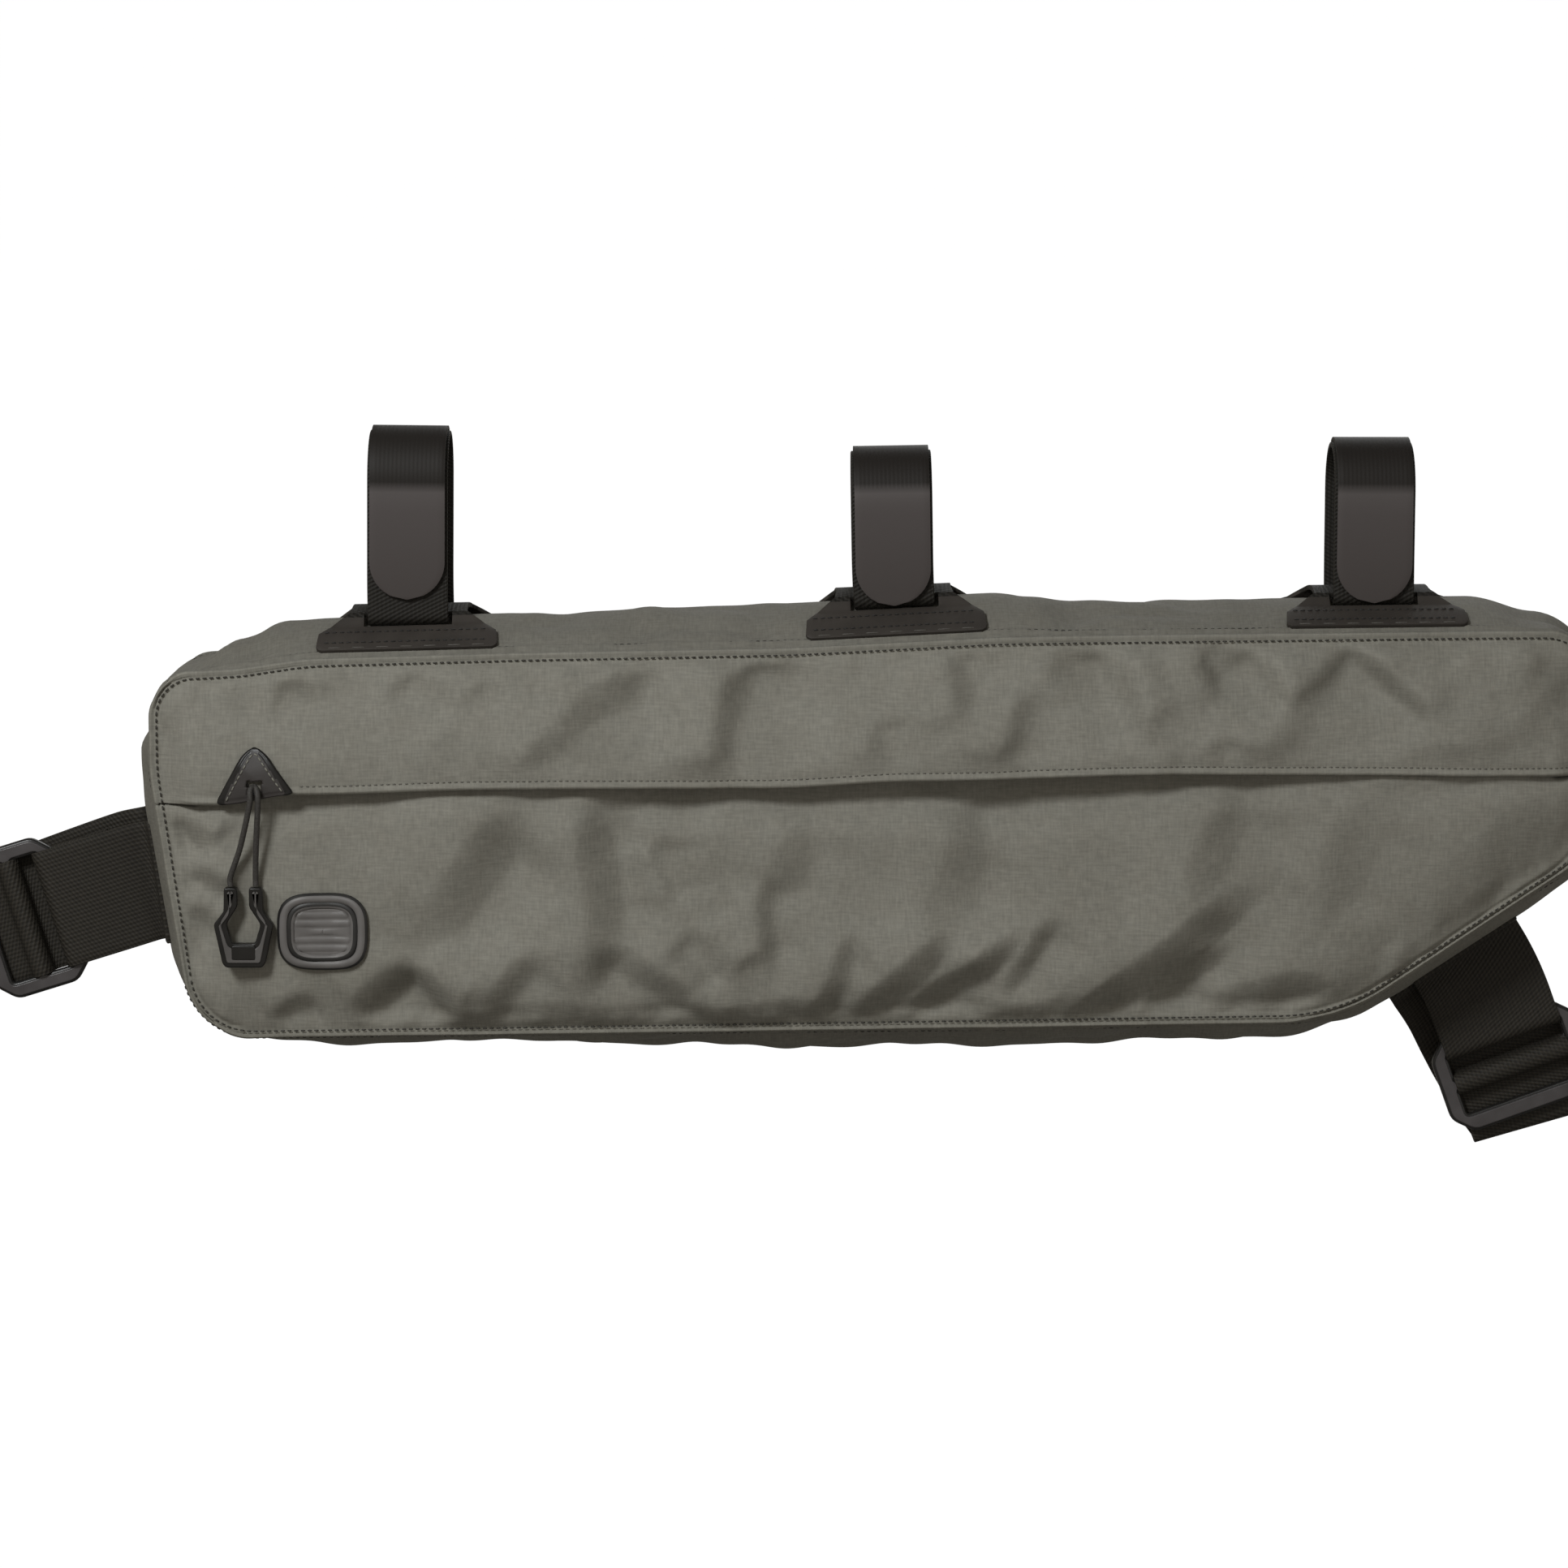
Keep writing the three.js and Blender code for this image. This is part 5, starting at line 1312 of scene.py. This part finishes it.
def strap_placer(strap):
    """Puts (s outwards, t towards the viewer, across) on the strap's sagging line."""
    root_x, root_z, nx, nz, bulge = (float(v) for v in outline_at(edge_distance(strap)))
    start = math.atan2(nz, nx)
    buckle_end = strap["buckle_at"] + BUCKLE_HEIGHT / 2
    room = strap["length"] + WEBBING * 2 - buckle_end

    def angle_at(s):
        first = strap["buckle_turn"] * np.clip(s / strap["turn_over"], 0, 1)
        second = (strap["end_turn"] - strap["buckle_turn"]) * np.clip((s - buckle_end) / room, 0, 1)
        return start + np.radians(first + second)
    grid = np.arange(-20, 90, 0.1)
    angles = angle_at(grid + 0.05)
    xs = np.concatenate([[0], np.cumsum(0.1 * np.cos(angles))])[:-1]
    zs = np.concatenate([[0], np.cumsum(0.1 * np.sin(angles))])[:-1]
    xs = xs - np.interp(0, grid, xs) + root_x + nx * (EDGE + bulge) + OFFSET_X
    zs = zs - np.interp(0, grid, zs) + root_z + nz * (EDGE + bulge) + OFFSET_Z

    def place(s, t, across):
        s = np.asarray(s, float)
        angle = angle_at(s)
        x = np.interp(s, grid, xs) - across * np.sin(angle)
        z = np.interp(s, grid, zs) + across * np.cos(angle)
        return np.stack(np.broadcast_arrays(x, -np.asarray(t, float), z), axis=-1)
    return place, bulge


def foot_path(bulge, side, standing):
    """A webbing's sewn foot on the gusset, up to where the webbing stands out from the bag."""
    reach = BAG_WIDTH / 2 - GAP
    lift = WEBBING / 2 - 0.6
    bend = 2.2
    near = standing + bend
    path = []
    for share in (1, 0.65, 0.3):
        t = lerp(near, FOOT_LENGTH, share)
        path.append((float(gusset_rise(bulge, t / reach)) - bulge + lift, side * t))
    path.append((float(gusset_rise(bulge, near / reach)) - bulge + lift + 0.1, side * near))
    path.append((lift + 0.9, side * (standing + 0.6)))
    path.append((lift + bend + 0.6, side * standing))
    return path


def build_anchor(strap):
    """The short webbing from the bag round the buckle's near bar."""
    place, bulge = strap_placer(strap)
    bar = strap["buckle_at"] - BAR_PITCH
    path = foot_path(bulge, 1, 1.5)
    path.append((9, WRAP))
    path += arc(bar, 0, WRAP, 90, -90, 14)
    path.append((bar - RETURN_LENGTH, -WRAP))
    name = f"{strap['name']}_short_webbing"
    made = strip(name, path, WEBBING_WIDTH / 2, place, WEBBING, WEBBING_CLOTH, columns=14)
    return finish_piece(made, "webbing", f"{strap['name']}_anchor")


def build_webbing(strap):
    """The long webbing: behind the buckle, folded at its end and back through the buckle to a tail."""
    place, bulge = strap_placer(strap)
    path = foot_path(bulge, -1, 1.7)
    path.append((9.5, -REAR))
    path.append((strap["buckle_at"], -REAR))
    rear = len(path)
    fold = (REAR - WRAP) / 2
    bar = strap["buckle_at"]
    turn = 2.2
    path += arc(strap["length"] - fold, -(REAR + WRAP) / 2, fold, -90, 90, 12)
    path += arc(bar + 2 * WRAP, 0, WRAP, 270, 180, 8)
    path += arc(bar, 0, WRAP, 30, 180, 12)
    path += arc(bar - WRAP - turn, turn - BELOW, turn, 0, -90, 6)
    path.append((TAIL_FROM_ROOT, -BELOW))
    rows = []
    for k, (s, t) in enumerate(path):
        shift = strap["shift"] * (1 - min(1, max(0, s / strap["length"])) ** 2) if k < rear else 0.0
        rows.append((s, t, WEBBING_WIDTH / 2, shift))
    name = f"{strap['name']}_long_webbing"
    made = strip(name, rows, WEBBING_WIDTH / 2, place, WEBBING, WEBBING_CLOTH, columns=14)
    return finish_piece(made, "webbing", f"{strap['name']}_webbing")


def flat_moulding(name, outlines, thickness, bevel, matrix, material, inset=0.0):
    """A moulded plate with rounded edges from closed outlines, the first outside and the rest holes."""
    curve = bpy.data.curves.new(name, "CURVE")
    curve.dimensions = "2D"
    curve.fill_mode = "BOTH"
    for outline in outlines:
        spline = curve.splines.new("POLY")
        spline.use_cyclic_u = True
        spline.points.add(len(outline) - 1)
        for point, (a, b) in zip(spline.points, outline):
            point.co = (a * MM, b * MM, 0, 1)
    curve.extrude = (thickness / 2 - bevel) * MM
    curve.bevel_depth = bevel * MM
    curve.bevel_resolution = 3
    curve.offset = -(bevel + inset) * MM
    source = add_object(name + "_outline", curve)
    bpy.context.view_layer.update()
    mesh = bpy.data.meshes.new_from_object(source.evaluated_get(bpy.context.evaluated_depsgraph_get()))
    bpy.data.objects.remove(source)
    mesh.name = name
    mesh.transform(matrix)
    mesh.materials.clear()
    mesh.materials.append(material)
    return add_object(name, mesh)


def rounded_corners(corners, radius, steps=5):
    """A closed outline with each of its corners rounded."""
    p = np.array(corners, float)
    made = []
    for k in range(len(p)):
        before, here, after = p[k - 1], p[k], p[(k + 1) % len(p)]
        a = before - here
        b = after - here
        room = 0.45 * min(np.linalg.norm(a), np.linalg.norm(b))
        reach = min(radius, room)
        start = here + a / np.linalg.norm(a) * reach
        end = here + b / np.linalg.norm(b) * reach
        for t in np.linspace(0, 1, steps):
            made.append((1 - t) ** 2 * start + 2 * t * (1 - t) * here + t**2 * end)
    return [tuple(q) for q in made]


def build_buckle(strap):
    """A slider buckle: a moulded frame with two slots and a raised face, the face lighter with painted light
    and the frame darker with painted shade.
    """
    place, _ = strap_placer(strap)
    long, tall, cut = BUCKLE_WIDTH / 2, BUCKLE_HEIGHT / 2, BUCKLE_CHAMFER
    outer = [(-tall + cut, -long), (tall - cut, -long), (tall, -long + cut), (tall, long - cut)]
    outer += [(-a, -b) for a, b in outer]
    slot_half = WEBBING_WIDTH / 2 - 0.3
    near = BAR_THICKNESS / 2
    far = BAR_PITCH - BAR_THICKNESS / 2
    outlines = [rounded_corners(outer, BUCKLE_ROUND)]
    for side in (-1, 1):
        corners = [(near, -slot_half), (far, -slot_half), (far, slot_half), (near, slot_half)]
        outlines.append(rounded_corners([(side * a, b) for a, b in corners], BUCKLE_SLOT_ROUND))
    centre = place(strap["buckle_at"], 0, 0)
    along = Vector(place(strap["buckle_at"] + 1, 0, 0) - centre).normalized()
    across = Vector(place(strap["buckle_at"], 0, 1) - centre).normalized()
    outward = along.cross(across)
    turned = Matrix((along, across, outward)).transposed().to_4x4()
    turned.translation = Vector(centre * MM)
    name = f"{strap['name']}_slider_buckle"
    made = flat_moulding(name, outlines, BAR_THICKNESS, BAR_BEVEL, turned, SHADED_FRAME_PLASTIC)
    raised = turned @ Matrix.Translation((0, 0, BAR_THICKNESS / 2 * MM))
    size = BUCKLE_FACE_THICKNESS, BUCKLE_FACE_BEVEL
    face = flat_moulding(f"{name}_face", outlines, *size, raised, LIT_BUCKLE_PLASTIC, inset=BUCKLE_FACE_IN)
    finish_piece(face, "moulded_plastic")
    return finish_piece(made, "moulded_plastic", f"{strap['name']}_buckle")


def facing_front(x, y, z):
    """Stands a flat shape drawn in x and z up against the front."""
    turned = Matrix.Rotation(math.pi / 2, 4, "X")
    turned.translation = Vector(((x + OFFSET_X) * MM, y * MM, (z + OFFSET_Z) * MM))
    return turned


def build_pull():
    """The zip's pull: a moulded frame with a raised ridge and a block in its foot."""
    def side(rows, sign):
        return [(sign * across * PULL_WIDTH / 2, -down * PULL_HEIGHT) for across, down in rows]
    corners = side(PULL_HALF, 1) + side(PULL_HALF, -1)[::-1]
    corners += side(PULL_INNER_HALF, -1)[::-1] + side(PULL_INNER_HALF, 1)
    outline = [rounded_corners(corners, PULL_ROUND, 4)]
    block = [rounded_corners([(a * PULL_WIDTH / 2, b * PULL_HEIGHT) for a, b in PULL_FOOT], 0.6, 4)]
    middle = facing_front(PULL_X, PULL_Y, PULL_TOP)
    front = facing_front(PULL_X, PULL_Y - PULL_THICKNESS / 2, PULL_TOP)
    made = flat_moulding("pull", outline, PULL_THICKNESS, PULL_BEVEL, middle, BLACK_PLASTIC)
    size = PULL_RIDGE_THICKNESS, PULL_RIDGE_BEVEL
    ridge = flat_moulding("pull_ridge", outline, *size, front, RIDGE_PLASTIC, inset=PULL_RIDGE_IN)
    inlay = flat_moulding("pull_block", block, 1.3, 0.35, front, BLACK_PLASTIC)
    for piece in (ridge, inlay):
        finish_piece(piece, "moulded_plastic")
    return finish_piece(made, "moulded_plastic", "zip_pull"), ridge, inlay


def garage_height(x, up):
    """Heights on the garage patch, whose foot follows the flap's edge, by the share of its own height."""
    return GARAGE_Z + (flap_edge(x) - flap_edge(GARAGE_X)) * (1 - up) + up * GARAGE_HEIGHT


def build_garage():
    """The rounded triangle of coated cloth over the parked slider, with a hole for the cord."""
    up = np.linspace(0, 1, 34)[None, :]
    across = np.linspace(-1, 1, 31)[:, None]
    from_top = (1 - up) * GARAGE_HEIGHT
    from_base = up * GARAGE_HEIGHT
    tip = np.maximum(0, 1 - from_top / GARAGE_ROUND_TIP)
    foot = np.maximum(0, 1 - from_base / GARAGE_ROUND_FOOT)
    half = lerp(GARAGE_WIDTH, GARAGE_TIP_WIDTH, up) / 2 * np.sqrt(np.maximum(0.02, 1 - tip**2))
    half = half - 1.6 * (1 - np.sqrt(1 - foot**2))
    beside = half * (1 - np.abs(across))
    x = GARAGE_X + half * across
    z = garage_height(x, up)
    edge = np.minimum(beside, np.minimum(from_top, from_base + 0.6))
    lift = 0.35 + CLOTH - 0.55 * bell(edge, 0, 0.7) - 0.3 * bell(edge, 1.5, 0.45)
    points = in_frame(x, -upper_face(x, z) - lift, z)
    middles = (points[:-1, :-1] + points[1:, 1:]) / 2
    beside_hole = np.abs(middles[..., 0] - OFFSET_X - GARAGE_X)
    above_hole = np.abs(middles[..., 2] - OFFSET_Z - HOLE_Z)
    has = (beside_hole > HOLE_WIDTH / 2) | (above_hole > HOLE_HEIGHT / 2)
    made = grid_object("garage_patch", points, np.stack([x, z], axis=2), PATCH, has=has)
    made.data.materials.append(BLACK_PLASTIC)
    rim = np.minimum(0.6 * beside, 0.9 * from_top)
    rim = ((rim[:-1, :-1] + rim[1:, 1:]) / 2)[has]
    for polygon, from_edge in zip(made.data.polygons, rim):
        polygon.material_index = int(from_edge < GARAGE_RIM)
    thicken(made, SEWN_CLOTH)
    return finish_piece(made, "coated_cloth", "zip_garage")


def build_garage_stitches():
    """The stitches up one side of the garage patch, round its tip and down the other side."""
    up = np.linspace(0.06, 0.8, 30)
    half = lerp(GARAGE_WIDTH, GARAGE_TIP_WIDTH, up) / 2 - GARAGE_STITCH_IN
    shares = np.concatenate([up, [0.86, 0.88, 0.86], up[::-1]])
    x = GARAGE_X + np.concatenate([-half, [-0.7, 0, 0.7], half[::-1]])
    z = garage_height(x, shares)
    line = in_frame(x, -upper_face(x, z) - CLOTH - 0.45, z)
    stitch_row("garage_stitches", line, FORWARDS, LIGHT_THREAD, GARAGE_STITCH)


def build_badge():
    """A rounded rubber patch: a raised double rim round a field of plain ribs."""
    around, rings = 96, 30
    mid_x, mid_z = BADGE_ALONG * BAG_LENGTH, BADGE_UP * BAG_HEIGHT
    angles = 2 * math.pi * np.arange(around) / around
    power = 2 / BADGE_ROUNDNESS
    cos = np.sign(np.cos(angles)) * np.abs(np.cos(angles)) ** power
    sin = np.sign(np.sin(angles)) * np.abs(np.sin(angles)) ** power
    shares = np.linspace(0.002, 1, rings)
    inset = (1 - shares) * BADGE_HEIGHT / 2
    rim = np.exp(-(((inset - 1.1) / 0.6) ** 4)) + 0.8 * np.exp(-(((inset - 3.1) / 0.5) ** 4))
    edge = 1 - bell(inset, 0, 0.5)
    x = mid_x + shares[None, :] * cos[:, None] * BADGE_WIDTH / 2
    z = mid_z + shares[None, :] * sin[:, None] * BADGE_HEIGHT / 2
    field = (inset > 4.2)[None, :]
    ribs = np.where(field, 0.35 * (0.5 + 0.5 * np.cos((z - mid_z) * 2 * math.pi / 2.6)) ** 2, 0)
    rise = 0.45 + 0.5 * edge[None, :] + 0.9 * rim[None, :] * edge[None, :] + ribs
    points = in_frame(x, -lower_face(x, z) - rise, z)
    made = grid_object("rubber_badge", points, np.stack([x, z], axis=2), RUBBER, wrap_u=True)
    made.data.materials.append(DARK_RUBBER)
    for polygon in made.data.polygons:
        beside = abs(polygon.center.x / MM - OFFSET_X - mid_x) / (BADGE_WIDTH / 2)
        above = abs(polygon.center.z / MM - OFFSET_Z - mid_z) / (BADGE_HEIGHT / 2)
        share = (beside**BADGE_ROUNDNESS + above**BADGE_ROUNDNESS) ** (1 / BADGE_ROUNDNESS)
        from_edge = (1 - share) * BADGE_HEIGHT / 2
        polygon.material_index = int(any(low <= from_edge < high for low, high in BADGE_GROOVES))
    thicken(made, 1.0)
    return finish_piece(made, "rubber_patch", "badge")


def stitch_row(name, line, normals, material, size):
    """A row of separate stitches, each a small rounded bar, laid along a line on a surface."""
    length, pitch, width = size
    sides = STITCH_SIDES
    normals = np.broadcast_to(normals, line.shape)
    steps = np.linalg.norm(np.diff(line, axis=0), axis=1)
    far = np.concatenate([[0], np.cumsum(steps)])
    vertices, faces = [], []
    for k in range(int(far[-1] / pitch)):
        middle = (k + 0.5) * pitch
        ends = [middle - length / 2, middle, middle + length / 2]
        a, b, c = (np.array([np.interp(e, far, line[:, i]) for i in range(3)]) for e in ends)
        up = np.array([np.interp(middle, far, normals[:, i]) for i in range(3)])
        up = up / np.linalg.norm(up)
        along = (c - a) / np.linalg.norm(c - a)
        beside = np.cross(up, along)
        first = len(vertices)
        for share, full in STITCH_SHAPE:
            point = b + along * share * length + up * (STITCH_RISE - 0.25 * (1 - full))
            for turn in 2 * math.pi * np.arange(sides) / sides:
                outward = math.cos(turn) * beside + STITCH_FLATNESS * math.sin(turn) * up
                vertices.append(point + width / 2 * full * outward)
        last = len(vertices) - sides
        for here in range(first, last, sides):
            for q in range(sides):
                n = (q + 1) % sides
                faces.append([here + q, here + n, here + sides + n, here + sides + q])
        faces.append([first + q for q in range(sides)][::-1])
        faces.append([last + q for q in range(sides)])
    return finish_piece(new_object(name, vertices, faces, None, material), "cord")


def build_seam_stitches():
    """Topstitches round both panels and on the gusset's side of each seam."""
    distance = np.linspace(0, TOTAL, 1400)
    for name, side in (("front", -1), ("back", 1)):
        x, z, *_ = outline_at(distance, EDGE - SEAM_STITCH_IN)
        if side < 0:
            face = np.where(z > flap_edge(x), upper_face(x, z), lower_face(x, z)) - 0.02
        else:
            face = BAG_WIDTH / 2 + CLOTH + BACK_PUFF * pillow(inside_by(x, z)) - 0.42
        line = in_frame(x, side * face, z)
        stitch_row(f"seam_stitches_{name}", line, (0.0, side, 0.0), DARK_THREAD, SEAM_STITCH)
        x, z, nx, nz, bulge = outline_at(distance)
        y = side * (GUSSET_REACH - GUSSET_STITCH_IN)
        rise = EDGE + gusset_rise(bulge, y / GUSSET_REACH) + 0.1
        line = in_frame(x + rise * nx, y, z + rise * nz)
        normals = np.stack([nx, 0 * nx, nz], axis=1)
        stitch_row(f"gusset_stitches_{name}", line, normals, DARK_THREAD, GUSSET_STITCH)


def build_flap_stitches():
    """The topstitch above the flap's folded edge."""
    x = np.linspace(GARAGE_X + GARAGE_WIDTH / 2 + 1, BAG_LENGTH - 6, 700)
    z = flap_edge(x) + FLAP_STITCH_UP
    line = in_frame(x, -upper_face(x, z) + 0.22, z)
    stitch_row("flap_stitches", line, FORWARDS, CLOTH_THREAD, FLAP_STITCH)


def plain_cad_finishes():
    """The zip and its slider keep their own solids, with better materials."""
    for name, material in (("zip", TAPE), ("zip_slider", METAL)):
        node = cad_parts[name]
        node.data.materials.clear()
        node.data.materials.append(material)


build_camera()
cord, cord_length, cord_exit = build_cord()
finish_piece(cord, "cord", "puller_cord")
pull_pieces = build_pull()
view = bpy.context.scene.view_settings
view.view_transform = "Standard"
view.look = "None"
build_sky()
build_backdrop()
build_lamps()
build_upper_panel()
build_lower_panel()
build_back_panel()
build_gusset()
build_garage()
build_garage_stitches()
build_badge()
build_seam_stitches()
build_flap_stitches()
for index in range(len(LOOPS)):
    build_loop(index)
    build_tab(index)
    build_plate(index)
    build_plate_stitches(index)
for strap in STRAPS:
    build_anchor(strap)
    build_webbing(strap)
    build_buckle(strap)
plain_cad_finishes()
